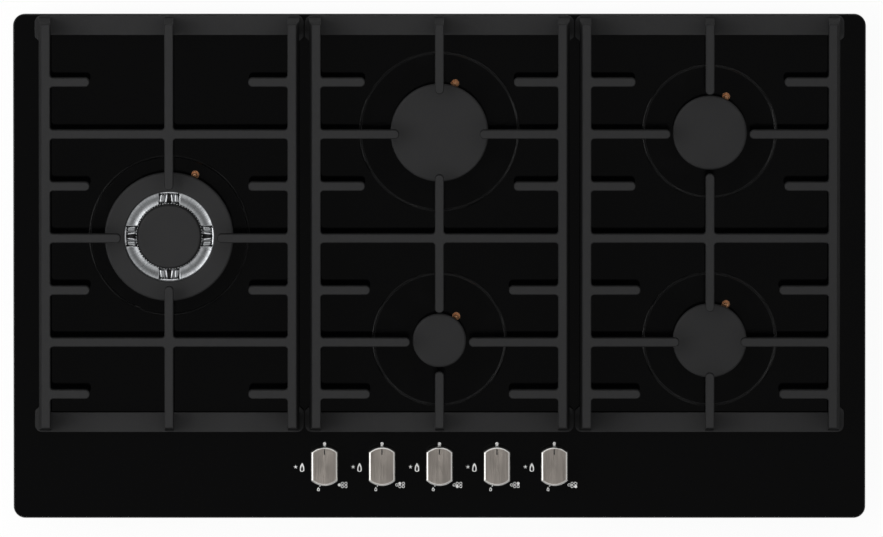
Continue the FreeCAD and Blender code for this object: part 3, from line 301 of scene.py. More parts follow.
# %% [markdown]
# ### Black glass
# The panel is tempered glass with a black coat behind it. Almost no light comes back out of it,
# so what shows is reflection: it looks black because a dark patch lies straight above it. A very
# faint film from wiping makes the gloss uneven, which is what tells glass from black plastic.


# %% Black glass
def black_glass():
    made, tree, shader = finish("black_glass", (0.0006, 0.0006, 0.0007), 0.03, ior=1.5)
    film = place(tree, GRAIN, grain_size=0.012, patch_size=0.11)
    edges = place(tree, SOFT_EDGES, reach=0.0006)
    wire(tree, (stretch(tree, film["Patches"], 0.2, 1.0, 0.02, 0.06), shader.inputs["Roughness"]))
    emboss(tree, shader, film["Height"], 0.000002, edges["Normal"])
    return made


# %% [markdown]
# ### Cast iron under black enamel
# The grates are cast in sand and enamelled matt black. The sand leaves a fine orange-peel skin,
# and the enamel dulls in patches where pans have stood. Its edges are painted lighter: partly the
# thinner, worn enamel there, partly a painted highlight along them. The sides are painted much
# darker than the tops, as painted shade for the lesser light that falls on them. The skin
# scatters light and hardly mirrors any, hence the low specular level.


# %% Cast iron
# Painted shade: the sides' colour is about a third of the tops', standing in for the shade on
# them. The edge colour is partly worn enamel and partly a painted highlight.
IRON_TOP, IRON_SIDE_PAINTED_SHADE = (0.0255, 0.0255, 0.026), (0.008, 0.008, 0.0083)
IRON_EDGE_WEAR_AND_HIGHLIGHT = (0.04, 0.04, 0.041)
IRON_ROUGH_LOW, IRON_ROUGH_HIGH = 0.74, 0.86
SIDE_SHADE_FADES_FROM, SIDE_SHADE_GONE_AT = 0.6, 0.9  # how far up a normal points where the painted shade of the sides starts to fade and where it is gone


def cast_iron():
    middle = (IRON_ROUGH_LOW + IRON_ROUGH_HIGH) / 2
    made, tree, shader = finish("cast_iron", IRON_TOP, middle, ior=1.3, specular_ior_level=0.15)
    skin = place(tree, GRAIN, grain_size=0.0009, patch_size=0.02)
    edges = place(tree, SOFT_EDGES, reach=0.0008, break_size=0.003)
    # painted shade: faces that point less far up get the darker side colour
    side_shade_mask = facing_up(tree, SIDE_SHADE_FADES_FROM, SIDE_SHADE_GONE_AT)
    roughen(tree, shader, skin["Patches"], IRON_ROUGH_LOW, IRON_ROUGH_HIGH)
    shaded_skin_color = tint(tree, shader, side_shade_mask, IRON_SIDE_PAINTED_SHADE, IRON_TOP)
    # lighter edges: partly worn enamel, partly a painted highlight
    tint(tree, shader, edges["Wear And Highlight"], shaded_skin_color, IRON_EDGE_WEAR_AND_HIGHLIGHT)
    emboss(tree, shader, skin["Height"], 0.00012, edges["Normal"], 0.7)
    return made


# %% [markdown]
# ### Enamelled caps and dishes
# Burner caps have a matt enamel like the grates, but smoother, because the steel under it is
# pressed or turned and not cast. The dishes are glossier. One function makes both, from a colour
# and a gloss.


# %% Enamel
def enamel(name, color, worn, rough, grain, ior):
    made, tree, shader = finish(name, color, rough, ior=ior)
    skin = place(tree, GRAIN, grain_size=grain, patch_size=0.03)
    edges = place(tree, SOFT_EDGES, reach=0.0005, break_size=0.005)
    roughen(tree, shader, skin["Patches"], rough - 0.04, rough + 0.06)
    tint(tree, shader, edges["Wear And Highlight"], color, worn)
    emboss(tree, shader, skin["Height"], 0.00005, edges["Normal"], 0.6)
    return made


# %% [markdown]
# ### Bare metals
# The knobs are brushed lengthwise on their faces and polished round their edges, the flame
# spreader of the wok burner is machined, and the cast, turned and rolled parts below have a plain
# grain. A metal's colour is its reflection, so the detail goes into roughness and bump rather
# than into the colour. Where a knob's surface starts to turn away from straight up, the polished
# finish takes over from the brushed one.


# %% Brushed metal of the knobs
POLISHED_BELOW, BRUSHED_FROM = 0.96, 0.999  # how far up a normal points where each one is alone
BAND_SHADE = 0.86  # the darker bands of the brushing, as a share of the colour


def brushed(name, color, rough, edge_color, edge_rough):
    made, tree, shader = finish(name, color, rough, 1.0, anisotropic=0.5)
    lines = place(tree, BRUSHING, line_width=0.00035, line_length=0.05)
    edges = place(tree, SOFT_EDGES, reach=0.0003)
    polished = calculate(tree, "SUBTRACT", 1.0, facing_up(tree, POLISHED_BELOW, BRUSHED_FROM))
    face = tint(tree, shader, lines["Bands"], color, [BAND_SHADE * c for c in color])
    tint(tree, shader, polished, face, edge_color)
    brush = stretch(tree, lines["Height"], 0.0, 1.0, rough - 0.05, rough + 0.1)
    step = calculate(tree, "SUBTRACT", brush, edge_rough)
    smoother = calculate(tree, "MULTIPLY", step, polished)
    wire(tree, (calculate(tree, "SUBTRACT", brush, smoother), shader.inputs["Roughness"]))
    emboss(tree, shader, lines["Height"], 0.00002, edges["Normal"], 0.6)
    return made


# %% Cast, turned and rolled metals
PATCH_SHADE = 0.8  # the darkest patches of a plain surface, as a share of its colour


def plain_metal(name, color, rough, grain=0.0006, depth=0.00003):
    made, tree, shader = finish(name, color, rough, 1.0)
    skin = place(tree, GRAIN, grain_size=grain, patch_size=0.02)
    edges = place(tree, SOFT_EDGES, reach=0.0003)
    tint(tree, shader, skin["Patches"], color, [PATCH_SHADE * c for c in color])
    roughen(tree, shader, skin["Patches"], rough - 0.06, rough + 0.08)
    emboss(tree, shader, skin["Height"], depth, edges["Normal"], 0.6)
    return made


# %% [markdown]
# ### Machined wok spreader
# The bright trough between the two rings of the wok burner was blasted and then wiped by a tool
# that crosses it, so its fine streaks point at the burner's middle. Noise over the angle around
# that middle gives streaks that fan out as the real ones do.


# %% Machined spreader
SPREADER = (0.34, 0.35, 0.36)
SPREADER_LIGHT, SPREADER_DARK = (0.42, 0.43, 0.44), (0.25, 0.26, 0.27)
STREAKS_ROUND, STREAKS_UP = 32.0, 300.0  # streaks per radian, and per metre of height


def machined(name, node):
    low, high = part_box(node)
    middle = (low + high) / 2
    made, tree, shader = finish(name, SPREADER, 0.32, 1.0)
    offset = add(tree, "VectorMath", operation="SUBTRACT")
    offset.inputs[1].default_value = (middle.x, middle.y, 0)
    wire(tree, (add(tree, "TexCoord").outputs["Object"], offset.inputs[0]))
    parts = split(tree, offset.outputs[0])
    angle = calculate(tree, "ARCTAN2", parts["Y"], parts["X"])
    fan = add(tree, "CombineXYZ")
    wire(tree, (calculate(tree, "MULTIPLY", angle, STREAKS_ROUND), fan.inputs["X"]),
         (calculate(tree, "MULTIPLY", parts["Z"], STREAKS_UP), fan.inputs["Y"]))
    streaks = add(tree, "TexNoise", {"Scale": 1.0, "Detail": 3.0})
    wire(tree, (fan.outputs[0], streaks.inputs["Vector"]))
    lines = full_range(tree, streaks)
    edges = place(tree, SOFT_EDGES, reach=0.0004)
    tint(tree, shader, lines, SPREADER_LIGHT, SPREADER_DARK)
    roughen(tree, shader, lines, 0.26, 0.38)
    emboss(tree, shader, lines, 0.00003, edges["Normal"], 0.6)
    return made


# %% [markdown]
# ### Galvanised sheet
# Zinc freezes on steel in flat crystals, and each one reflects a little differently. Voronoi
# cells with a random grey per cell are just that.


# %% Galvanised sheet
ZINC, ZINC_LIGHT, ZINC_DARK = (0.5, 0.51, 0.52), (0.55, 0.56, 0.57), (0.4, 0.41, 0.42)
CRYSTALS = 110.0  # per metre


def galvanised():
    made, tree, shader = finish("galvanised_steel", ZINC, 0.4, 0.9)
    crystals = add(tree, "TexVoronoi", {"Scale": CRYSTALS, "Randomness": 1.0})
    wire(tree, (add(tree, "TexCoord").outputs["Object"], crystals.inputs["Vector"]))
    grey = add(tree, "SeparateColor")
    wire(tree, (crystals.outputs["Color"], grey.inputs[0]))
    edges = place(tree, SOFT_EDGES, reach=0.0004)
    tint(tree, shader, grey.outputs[0], ZINC_LIGHT, ZINC_DARK)
    roughen(tree, shader, grey.outputs[0], 0.32, 0.48)
    wire(tree, (edges["Normal"], shader.inputs["Normal"]))
    return made


# %% [markdown]
# ### Rubber, foam, plastic and ceramic
# These differ in colour, gloss and grain only, so one function makes them all.


# %% Rubber, foam, plastic and ceramic
def moulded(name, color, rough, grain, depth):
    made, tree, shader = finish(name, color, rough)
    skin = place(tree, GRAIN, grain_size=grain, patch_size=0.015)
    edges = place(tree, SOFT_EDGES, reach=0.0005)
    tint(tree, shader, skin["Patches"], color, [PATCH_SHADE * c for c in color])
    roughen(tree, shader, skin["Patches"], rough - 0.05, rough + 0.05)
    emboss(tree, shader, skin["Height"], depth, edges["Normal"], 0.7)
    return made


# %% [markdown]
# ### Spark electrode
# One mesh holds the white ceramic sleeve and the steel pin that stands out of it. The height
# above the glass tells them apart.


# %% Ceramic with a steel pin
SLEEVE_WHITE, PIN_GREY = (0.8, 0.79, 0.75), (0.42, 0.42, 0.42)


def electrode(sleeve_top):
    made, tree, shader = finish("ceramic", SLEEVE_WHITE, 0.25)
    spot = split(tree, add(tree, "TexCoord").outputs["Object"])
    pin = stretch(tree, spot["Z"], sleeve_top, sleeve_top + 0.1 * MM, 0.0, 1.0)
    skin = place(tree, GRAIN, grain_size=0.0008, patch_size=0.006)
    tint(tree, shader, pin, SLEEVE_WHITE, PIN_GREY)
    wire(tree, (pin, shader.inputs["Metallic"]))
    emboss(tree, shader, skin["Height"], 0.00002)
    return made


# %% [markdown]
# ## Every node gets its finish
# The record names a material slot for each node, so one dictionary from slot to finish dresses
# the whole cooktop. Nothing is listed twice, and a node that is added later is dressed as well.

# %% Dress the nodes
FINISHES = {
    "black_glass": black_glass(),
    "cast_iron": cast_iron(),
    "cap_enamel": enamel("cap_enamel", (0.0145, 0.0145, 0.015), (0.026, 0.026, 0.027),
                         0.6, 0.0012, 1.3),
    "dish_enamel": enamel("dish_enamel", (0.0008, 0.0008, 0.0009), (0.006, 0.006, 0.006),
                          0.08, 0.002, 1.45),
    "aluminium": plain_metal("aluminium", (0.68, 0.69, 0.71), 0.36),
    "cast_aluminium": plain_metal("cast_aluminium", (0.52, 0.52, 0.53), 0.46, 0.001, 0.0001),
    "knob_metal": brushed("knob_metal", (0.47, 0.425, 0.385), 0.32, (0.54, 0.53, 0.515), 0.22),
    "steel": plain_metal("steel", (0.55, 0.55, 0.56), 0.3),
    "galvanised_steel": galvanised(),
    "copper": plain_metal("copper", (0.8, 0.42, 0.22), 0.28),
    "brass": plain_metal("brass", (0.72, 0.55, 0.28), 0.3),
    "ceramic": electrode(GLASS_TOP + 9 * MM),
    "rubber": moulded("rubber", (0.025, 0.025, 0.025), 0.65, 0.0007, 0.00006),
    "foam": moulded("foam", (0.045, 0.045, 0.046), 0.85, 0.0012, 0.0003),
    "module_plastic": moulded("module_plastic", (0.62, 0.61, 0.57), 0.45, 0.0005, 0.00004),
}
for part in record["subparts"]:
    nodes[part["node"]].material_slots[0].material = FINISHES[part["material_slot"]]
MACHINED = machined("machined", "burner_head_wok")
nodes["burner_head_wok"].material_slots[0].material = MACHINED
print(len(record["subparts"]), "nodes dressed in", len(FINISHES) + 1, "finishes")

# %% [markdown]
# ## The trough of the wok burner
# Between its two caps the wok burner shows a bright ring, cut by four bridges. Each quarter of
# the ring is a shallow channel with a round bottom: its gentle slopes mirror the lamps while the
# bottom mirrors the dark patch above. All these pieces have a shaped top and a flat underside, so
# one function closes a grid of top points into a solid body, and another turns a finished mesh
# into an object.


# %% A body from a grid of top points
def slab(mesh, spots, low):
    """A closed body: a grid of points for its top, and a flat underside at the height low."""
    tops = [[mesh.verts.new(spot) for spot in row] for row in spots]
    lows = [[mesh.verts.new((x, y, low)) for x, y, _ in row] for row in spots]
    for grid in (tops, lows):
        for near, far in zip(grid, grid[1:]):
            for i in range(len(near) - 1):
                face = mesh.faces.new((near[i], far[i], far[i + 1], near[i + 1]))
                face.smooth = grid is tops
    rims = [grid[0][:-1] + [row[-1] for row in grid[:-1]] + grid[-1][:0:-1]
            + [row[0] for row in grid[:0:-1]] for grid in (tops, lows)]
    for i in range(len(rims[0])):
        mesh.faces.new((rims[0][i - 1], rims[0][i], rims[1][i], rims[1][i - 1]))


def to_object(mesh, name, material, corner):
    """Ends a mesh, and makes it an object whose place is in its points."""
    bmesh.ops.recalc_face_normals(mesh, faces=mesh.faces)
    bmesh.ops.translate(mesh, verts=mesh.verts, vec=corner)
    data = bpy.data.meshes.new(name)
    mesh.to_mesh(data)
    mesh.free()
    made = bpy.data.objects.new(name, data)
    bpy.context.scene.collection.objects.link(made)
    data.materials.append(material)
    return made


def share(steps):
    """Evenly spaced shares from 0 to 1."""
    return [i / steps for i in range(steps + 1)]


def between(first, last, part):
    """The number that lies this share of the way from first to last."""
    return first + (last - first) * part


def crown(part):
    """1 in the middle of a width and 0 at both its edges."""
    return 1 - (2 * part - 1) ** 2


def turned(spots, quarter):
    """The same grid, turned round the burner's axis by quarters."""
    turns = {0: lambda x, y: (x, y), 1: lambda x, y: (-y, x),
             2: lambda x, y: (-x, -y), 3: lambda x, y: (y, -x)}
    return [[(*turns[quarter](x, y), z) for x, y, z in row] for row in spots]


# %% [markdown]
# ### The channels
# One way the grid goes round the burner, the other across the channel. The ends run parallel to
# the bridges, so the angle at which a row starts depends on its radius.

# %% Four shallow channels
CHANNEL_NEAR, CHANNEL_FAR = 33.4 * MM, 45.35 * MM  # radii of its edges
TROUGH_TOP = GLASS_TOP + 14.95 * MM  # just under the caps, which lie at 15
CHANNEL_TOP, CHANNEL_DEPTH = GLASS_TOP + 15.12 * MM, 1.05 * MM  # its edges, and its middle below
CHANNEL_LOW = GLASS_TOP + 12 * MM
CHANNEL_GAP = 10.3 * MM  # from the middle of a bridge to the end of a channel
CHANNEL_STEPS_ACROSS, CHANNEL_STEPS_ROUND = 16, 40


def channels():
    mesh = bmesh.new()
    spots = []
    for across in share(CHANNEL_STEPS_ACROSS):
        radius = between(CHANNEL_NEAR, CHANNEL_FAR, across)
        start = math.asin(CHANNEL_GAP / radius)
        height = CHANNEL_TOP - CHANNEL_DEPTH * crown(across)
        turns = [between(start, math.pi / 2 - start, along)
                 for along in share(CHANNEL_STEPS_ROUND)]
        spots.append([(radius * math.cos(t), radius * math.sin(t), height) for t in turns])
    for quarter in range(4):
        slab(mesh, turned(spots, quarter), CHANNEL_LOW)
    return mesh


# %% [markdown]
# ### The bridges
# A bridge carries the gas across the trough. It has a slit along its middle that narrows
# outwards, a round fin on each side of the slit, a groove, a broad shoulder, and a lip at its
# outer end. A round back catches one line of light whichever way it runs, which is why the fins
# read as bright lines.

# %% Fins, shoulders and lips
BRIDGE_LOW = GLASS_TOP + 9.9 * MM
SLIT_NEAR, SLIT_FAR = 2.5 * MM, 1.4 * MM  # half widths
FIN_NEAR, FIN_FAR, FIN_WIDTH, FIN_ROUND = 33.2 * MM, 43.4 * MM, 1.7 * MM, 0.55 * MM
SHOULDER_INSIDE, SHOULDER_ROUND, SHOULDER_DROP = 5.5 * MM, 0.45 * MM, 0.3 * MM
SHOULDER_NEAR, SHOULDER_FAR = 10.0 * MM, 8.6 * MM  # its outer edge at both ends
LIP_WIDTH, LIP_RISE, LIP_HALF = 2.0 * MM, 0.6 * MM, 9.0 * MM
BAR_STEPS_ALONG, BAR_STEPS_ACROSS = 4, 8
LIP_STEPS_ALONG, LIP_STEPS_ACROSS = 16, 3


def bar_spots(inside, outside, top, rounding, side):
    """Top points of a bar along a bridge; inside and outside are its edges at both ends."""
    return [[(between(FIN_NEAR, FIN_FAR, along),
              side * between(between(*inside, along), between(*outside, along), across),
              top - rounding * (1 - crown(across)))
             for along in share(BAR_STEPS_ALONG)] for across in share(BAR_STEPS_ACROSS)]


def lip_spots():
    """Top points of the lip, which rises outwards and follows the ring cap."""
    offsets = [LIP_HALF * (2 * along - 1) for along in share(LIP_STEPS_ALONG)]
    return [[(math.sqrt((CHANNEL_FAR - LIP_WIDTH * (1 - across)) ** 2 - y * y), y,
              TROUGH_TOP - LIP_RISE * (1 - across))
             for y in offsets] for across in share(LIP_STEPS_ACROSS)]


def fins_and_lips():
    mesh = bmesh.new()
    slit, fin = (SLIT_NEAR, SLIT_FAR), (SLIT_NEAR + FIN_WIDTH, SLIT_FAR + FIN_WIDTH)
    for quarter in range(4):
        for side in (-1, 1):
            slab(mesh, turned(bar_spots(slit, fin, TROUGH_TOP, FIN_ROUND, side), quarter),
                 BRIDGE_LOW)
        slab(mesh, turned(lip_spots(), quarter), BRIDGE_LOW)
    return mesh


def shoulders():
    mesh = bmesh.new()
    inside, outside = (SHOULDER_INSIDE, SHOULDER_INSIDE), (SHOULDER_NEAR, SHOULDER_FAR)
    top = TROUGH_TOP - SHOULDER_DROP
    for quarter in range(4):
        for side in (-1, 1):
            slab(mesh, turned(bar_spots(inside, outside, top, SHOULDER_ROUND, side), quarter),
                 BRIDGE_LOW)
    return mesh


# %% [markdown]
# ### The dark gaps
# Flames leave a burner through slots, and these lie deep and in shade. A near-black floor of
# painted shade lies in each slit, in the grooves beside the fins and in the gaps at the channels'
# ends, and a ring of painted shade with small bright teeth closes the gap round the inner cap.

# %% Floors of painted shade and the toothed ring
# painted shade: near-black floors put in the deep gaps, where only shade falls
SHADE_FLOOR_TOP, SHADE_FLOOR_LOW = GLASS_TOP + 12.4 * MM, BRIDGE_LOW
PORT_NEAR, PORT_LEVEL, PORT_THICK = 31.4 * MM, GLASS_TOP + 15.0 * MM, 0.08 * MM
TOOTH_COUNT, TOOTH_NEAR, TOOTH_SHARE, TOOTH_RISE = 72, 32.6 * MM, 0.45, 0.45 * MM
SHADE_STEPS, PORT_STEPS, TOOTH_STEPS = 12, 24, 2


def arc_spots(near, far, first, last, top, steps, rise=0.0):
    """Top points of a piece of a ring; it may rise from its near edge to its far one."""
    return [[(r * math.cos(t), r * math.sin(t), top + lift)
             for t in (between(first, last, along) for along in share(steps))]
            for r, lift in ((near, 0.0), (far, rise))]


def slit_shade():
    mesh = bmesh.new()
    half = math.asin(CHANNEL_GAP / CHANNEL_FAR)
    for quarter in range(4):
        slab(mesh, turned(arc_spots(CHANNEL_NEAR, CHANNEL_FAR - LIP_WIDTH / 2, -half, half,
                                    SHADE_FLOOR_TOP, SHADE_STEPS), quarter), SHADE_FLOOR_LOW)
        slab(mesh, turned(arc_spots(PORT_NEAR, CHANNEL_NEAR, 0, math.pi / 2,
                                    PORT_LEVEL + PORT_THICK, PORT_STEPS), quarter), PORT_LEVEL)
    return mesh


def teeth():
    mesh = bmesh.new()
    pitch = 2 * math.pi / TOOTH_COUNT
    for i in range(TOOTH_COUNT):
        slab(mesh, arc_spots(TOOTH_NEAR, CHANNEL_NEAR, i * pitch, (i + TOOTH_SHARE) * pitch,
                             PORT_LEVEL + PORT_THICK, TOOTH_STEPS, TOOTH_RISE), PORT_LEVEL)
    return mesh


# %% [markdown]
# All these pieces stand round the axis of the wok burner's head, and they lift off with it. The
# channels and shoulders have the head's own machined finish. The fins and teeth are smoother.

# %% Build the trough
low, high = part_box("burner_head_wok")
wok_axis = ((low.x + high.x) / 2, (low.y + high.y) / 2, 0)
# painted shade: the matt near-black of the floors in the gaps
SLIT_SHADE = moulded("slit_shade", (0.004, 0.004, 0.004), 0.7, 0.0005, 0.00004)
for name, made, material in (("wok_channels", channels(), MACHINED),
                             ("wok_fins", fins_and_lips(), FINISHES["aluminium"]),
                             ("wok_shoulders", shoulders(), MACHINED),
                             ("wok_teeth", teeth(), FINISHES["aluminium"]),
                             ("wok_slit_shade", slit_shade(), SLIT_SHADE)):
    piece = to_object(made, name, material, wok_axis)
    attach(piece, "head_wok")
    print(name, "has", len(piece.data.polygons), "faces")

# %% [markdown]
# ## Printed marks
# Round each knob the glass carries ceramic print: a dot for off, a star for the spark, a large
# and a small flame, a tick, and a plan of the five burners with the knob's own burner filled in.
# Print is a layer with a thickness of its own, so each mark is a closed outline pulled up by a
# few hundredths of a millimetre. It takes the light as a layer does, and it needs no image.

# %% Outlines of the marks
PRINT_THICK = 0.06 * MM
ROUND = 28  # points of a small circle
FLAME_FOOT, FLAME_SIDE = 0.15, 0.4  # shares of the height where the foot and the sides end
FLAME_ARCH = 2.0  # how the tip narrows: 1 straight, more in an arch


def ring(x, y, radius):
    """Points of a circle in millimetres from the knob's axis."""
    turns = [2 * math.pi * i / ROUND for i in range(ROUND)]
    return [(x + radius * math.cos(t), y + radius * math.sin(t)) for t in turns]


def flame(x, y, width, height):
    """A flame: a round foot, upright sides to two fifths of its height, and a pointed tip."""
    points = []
    for i in range(ROUND):
        turn = 2 * math.pi * i / ROUND
        up = (1 - math.cos(turn)) / 2  # 0 at the foot, 1 at the tip
        foot = min(1.0, up / FLAME_FOOT)
        tip = max(0.0, (up - FLAME_SIDE) / (1 - FLAME_SIDE))
        half = width / 2 * math.sqrt(1 - (1 - foot) ** 2) * (1 - tip ** FLAME_ARCH)
        points.append((x + math.copysign(half, math.sin(turn)), y + (up - 0.5) * height))
    return points


def star(x, y, outer, inner, points=5):
    """A star with one point up."""
    turns = [math.pi / 2 + math.pi * i / points for i in range(2 * points)]
    return [(x + (inner if i % 2 else outer) * math.cos(t),
             y + (inner if i % 2 else outer) * math.sin(t)) for i, t in enumerate(turns)]


def bar(angle, near, far, width):
    """A short bar that points away from the knob's axis."""
    out = Vector((math.cos(angle), math.sin(angle)))
    across = Vector((-out.y, out.x)) * width / 2
    return [tuple(p) for p in (out * near - across, out * far - across,
                               out * far + across, out * near + across)]


print("a flame has", len(flame(0, 0, 5, 9)), "points")

# %% [markdown]
# A mark is either a filled outline or a band between an outer and an inner one with equally many
# points. Both are made in one mesh per knob: the lower and upper faces and the walls between
# them, so that the print is a closed solid.


# %% Pull the outlines up to a layer
def lay_print(mesh, outer, inner=None):
    """Adds one mark to a mesh, in millimetres from the knob's axis."""
    loops = []
    for outline in (outer, inner) if inner else (outer,):
        loops.append([[mesh.verts.new((x * MM, y * MM, z)) for x, y in outline]
                      for z in (0.0, PRINT_THICK)])
    for number, (low, high) in enumerate(loops):
        for i in range(len(low)):
            wall = [low[i - 1], low[i], high[i], high[i - 1]]
            mesh.faces.new(wall[::-1] if number else wall)
    for level, turn in ((0, -1), (1, 1)):
        if inner:
            out, hole = loops[0][level], loops[1][level]
            for i in range(len(out)):
                mesh.faces.new([out[i - 1], out[i], hole[i], hole[i - 1]][::turn])
        else:
            mesh.faces.new(loops[0][level][::turn])


# %% [markdown]
# The places come from the photograph: they were measured there in pixels, turned into
# millimetres on the glass, and are given from the knob's axis.

# %% Where each mark stands
DOT_PLACE, DOT_RADIUS = (0.0, 21.0), 1.65
STAR_PLACE, STAR_OUTER, STAR_INNER = (-29.2, -2.4), 2.4, 0.75
BIG_FLAME, BIG_HOLE = (-22.7, -2.9, 4.5, 9.0), (-22.7, -3.9, 2.1, 5.3)
SMALL_FLAME, SMALL_HOLE = (-6.3, -25.0, 2.6, 4.1), (-6.3, -25.3, 1.1, 2.2)
TICK_ANGLE, TICK_NEAR, TICK_FAR, TICK_WIDTH = math.radians(258), 20.9, 22.9, 0.9
PLAN_PLACES = ((14.9, -20.7), (18.0, -19.2), (18.0, -22.3), (21.5, -19.2), (21.5, -22.3))
PLAN_RADIUS, PLAN_HOLE = 1.55, 0.9


def knob_marks(number):
    """The print round one knob; its own burner is the filled one in the plan."""
    mesh = bmesh.new()
    lay_print(mesh, ring(*DOT_PLACE, DOT_RADIUS))
    lay_print(mesh, star(*STAR_PLACE, STAR_OUTER, STAR_INNER))
    lay_print(mesh, flame(*BIG_FLAME), flame(*BIG_HOLE))
    lay_print(mesh, flame(*SMALL_FLAME), flame(*SMALL_HOLE))
    lay_print(mesh, bar(TICK_ANGLE, TICK_NEAR, TICK_FAR, TICK_WIDTH))
    for burner, (x, y) in enumerate(PLAN_PLACES):
        hole = None if burner == number else ring(x, y, PLAN_HOLE)
        lay_print(mesh, ring(x, y, PLAN_RADIUS), hole)
    return mesh


# %% [markdown]
# The print is a white ceramic ink. It isn't a perfect white: the ink is a little thinner in some
# places, so its colour and gloss vary very slightly.

# %% Print the marks on the glass
INK = moulded("white_ink", (0.9, 0.9, 0.89), 0.45, 0.0004, 0.000006)
for number in range(KNOB_COUNT):
    low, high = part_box(f"knob_{number + 1}")
    axis = ((low.x + high.x) / 2, (low.y + high.y) / 2, GLASS_TOP)
    marks = to_object(knob_marks(number), f"printed_marks_{number + 1}", INK, axis)
    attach(marks, "hob")
print(KNOB_COUNT, "sets of printed marks, each with", len(PLAN_PLACES), "burners in its plan")

# %% [markdown]
# ## The inlay in each knob
# A groove in the knob's top face holds a line of dark paint that shows where the knob points.
# The groove is in the metal already. The paint is a small bar that nearly fills it, with its own
# rounded edges, and it turns with the knob.

# %% Paint in the grooves
INLAY_WIDTH, INLAY_LENGTH, INLAY_INSET = 1.2 * MM, 5.5 * MM, 2.65 * MM
INLAY_LOW, INLAY_ROUND = 0.12 * MM, 0.08 * MM  # its top below the knob's, and its soft edges
DARK_INLAY = moulded("dark_inlay", (0.012, 0.011, 0.01), 0.5, 0.0004, 0.00001)


def inlay():
    """A low bar with softened upper edges, as long as the groove."""
    mesh = bmesh.new()
    bmesh.ops.create_cube(mesh, size=1.0)
    size = (INLAY_WIDTH, INLAY_LENGTH, SINK - INLAY_LOW)
    bmesh.ops.scale(mesh, verts=mesh.verts, vec=size)
    upper = [e for e in mesh.edges if all(v.co.z > 0 for v in e.verts)]
    bmesh.ops.bevel(mesh, geom=upper, offset=INLAY_ROUND, segments=2, affect="EDGES")
    return mesh


for number in range(1, KNOB_COUNT + 1):
    low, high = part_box(f"knob_{number}")
    middle = ((low.x + high.x) / 2, high.y - INLAY_INSET - INLAY_LENGTH / 2,
              high.z - (SINK + INLAY_LOW) / 2)
    paint = to_object(inlay(), f"knob_line_{number}", DARK_INLAY, middle)
    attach(paint, f"knob_{number}")
print("painted the lines of", KNOB_COUNT, "knobs")

# %% [markdown]
# ## The floor
# The background is plain white. For the camera and for mirrors most of the floor's colour is its
# own glow, so it stays white without extra lamps, and the rest is ordinary matt paint, which
# keeps the soft shadow of the cooktop.

# %% White floor
FLOOR_SIZE, FLOOR_GLOW = 24.0, 0.93
FLOOR_WHITE, FLOOR_GREY = (0.9, 0.9, 0.9), (0.88, 0.88, 0.88)


def white_floor():
    made, tree, shader = finish("white_floor", FLOOR_WHITE, 0.8)
    light = add(tree, "LightPath").outputs
    seen = calculate(tree, "MAXIMUM", light["Is Camera Ray"],
                     calculate(tree, "MAXIMUM", light["Is Glossy Ray"],
                               light["Is Transmission Ray"]))
    glow = add(tree, "Emission", {"Strength": 1.0})
    mix = add(tree, "MixShader")
    grain = place(tree, GRAIN, grain_size=0.004, patch_size=0.3)
    tint(tree, shader, grain["Patches"], FLOOR_WHITE, FLOOR_GREY)
    wire(tree, (calculate(tree, "MULTIPLY", seen, FLOOR_GLOW), mix.inputs[0]),
         (shader.outputs[0], mix.inputs[1]), (glow.outputs[0], mix.inputs[2]),
         (mix.outputs[0], tree.nodes["Material Output"].inputs["Surface"]))
    return made


mesh = bmesh.new()
bmesh.ops.create_grid(mesh, x_segments=1, y_segments=1, size=FLOOR_SIZE / 2)
floor = to_object(mesh, "floor", white_floor(), (0, 0, cad_box[0].z))
print("floor of", FLOOR_SIZE, "m")

# %% [markdown]
# ## Light
# Glossy black shows what is round it, so the room matters more than the lamps. A dark patch
# straight above keeps the glass black. Round that patch the ceiling is bright and even, which
# lights the matt tops from above, and it fades again towards the horizon, so that the upright
# faces stay dark.

# %% The room
# Each pair is the height of a direction, 0 at the horizon and 1 straight up, and its light.
ROOM = ((0.0, 0.08), (0.3, 0.3), (0.6, 0.75), (0.85, 1.05), (0.92, 0.85), (0.965, 0.19),
        (0.985, 0.082), (1.0, 0.077))
world = bpy.data.worlds.new("studio")
bpy.context.scene.world = world
world.use_nodes = True
room = world.node_tree
ramp = add(room, "ValToRGB")
stops = ramp.color_ramp.elements
while len(stops) < len(ROOM):
    stops.new(0.5)
for stop, (height, light) in zip(stops, ROOM):
    stop.position, stop.color = height, (light, light, light, 1)
direction = split(room, add(room, "TexCoord").outputs["Generated"])
wire(room, (direction["Z"], ramp.inputs[0]),
     (ramp.outputs[0], room.nodes["Background"].inputs["Color"]))
print("room with", len(ROOM), "levels of light")

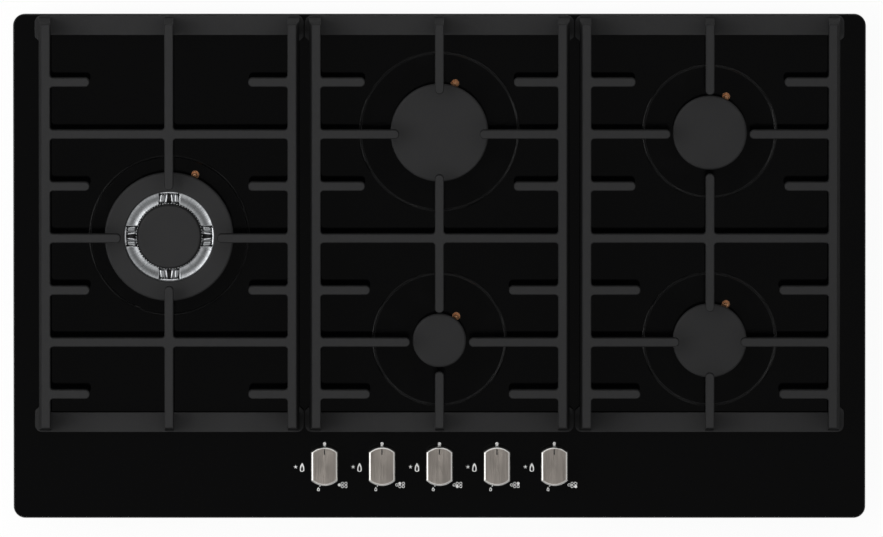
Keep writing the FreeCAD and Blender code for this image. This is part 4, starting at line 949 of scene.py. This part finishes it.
# %% [markdown]
# A large and strong softbox at the left reaches from low down to high up and draws the broad
# white line along the left edge of each knob. A small weak one, high up at the rear left, looks
# into the trough of the wok burner, which the caps on both sides hide from all lower lamps. Weak
# ones fill the other sides. None of them shows to the camera.

# %% Lamps
# name, place and size in metres, radiance
LAMPS = (
    ("left_softbox", (-1.8, 0.1, 1.35), (1.6, 2.4), 2.3),
    ("high_softbox", (-0.8, 0.8, 2.0), (0.9, 0.9), 0.8),
    ("rear_softbox", (0.15, 2.1, 1.5), (2.6, 1.2), 0.8),
    ("right_softbox", (2.4, -0.2, 1.3), (1.4, 1.0), 0.45),
    ("front_softbox", (-0.3, -2.3, 1.6), (2.0, 0.9), 0.4),
)


def softbox(name, spot, size, radiance):
    """A rectangular lamp that faces the cooktop and doesn't show to the camera."""
    data = bpy.data.lights.new(name, "AREA")
    data.shape = "RECTANGLE"
    data.size, data.size_y = size
    data.energy = radiance * math.pi * size[0] * size[1]
    made = bpy.data.objects.new(name, data)
    bpy.context.scene.collection.objects.link(made)
    made.location = spot
    made.rotation_euler = (-Vector(spot)).to_track_quat("-Z", "Y").to_euler()
    made.visible_camera = False
    return made


for lamp in LAMPS:
    print(softbox(*lamp).name, "at", lamp[1])

# %% [markdown]
# ## The camera
# The photograph looks almost straight down, from a little behind the cooktop: the tops of the
# grates are shifted towards the front against the glass. A long lens far away keeps parallel
# edges parallel, as they are in the photograph.

# %% Camera
TILT = math.radians(4.3)
LENS, SENSOR = 900.0, 36.0  # millimetres
VIEW_WIDTH = 0.8911  # metres of the glass across the picture
AIM = Vector((2.07 * MM, -2.43 * MM, GLASS_TOP))

camera_data = bpy.data.cameras.new("camera")
camera_data.lens, camera_data.sensor_width = LENS, SENSOR
distance = LENS / SENSOR * VIEW_WIDTH
camera_data.clip_start, camera_data.clip_end = 1.0, 60.0
camera = bpy.data.objects.new("camera", camera_data)
bpy.context.scene.collection.objects.link(camera)
camera.location = AIM + Vector((0, math.sin(TILT), math.cos(TILT))) * distance
camera.rotation_euler = (-TILT, 0, 0)
bpy.context.scene.camera = camera
bpy.context.scene.view_settings.view_transform = "Standard"
print("camera at", round(distance, 2), "m")
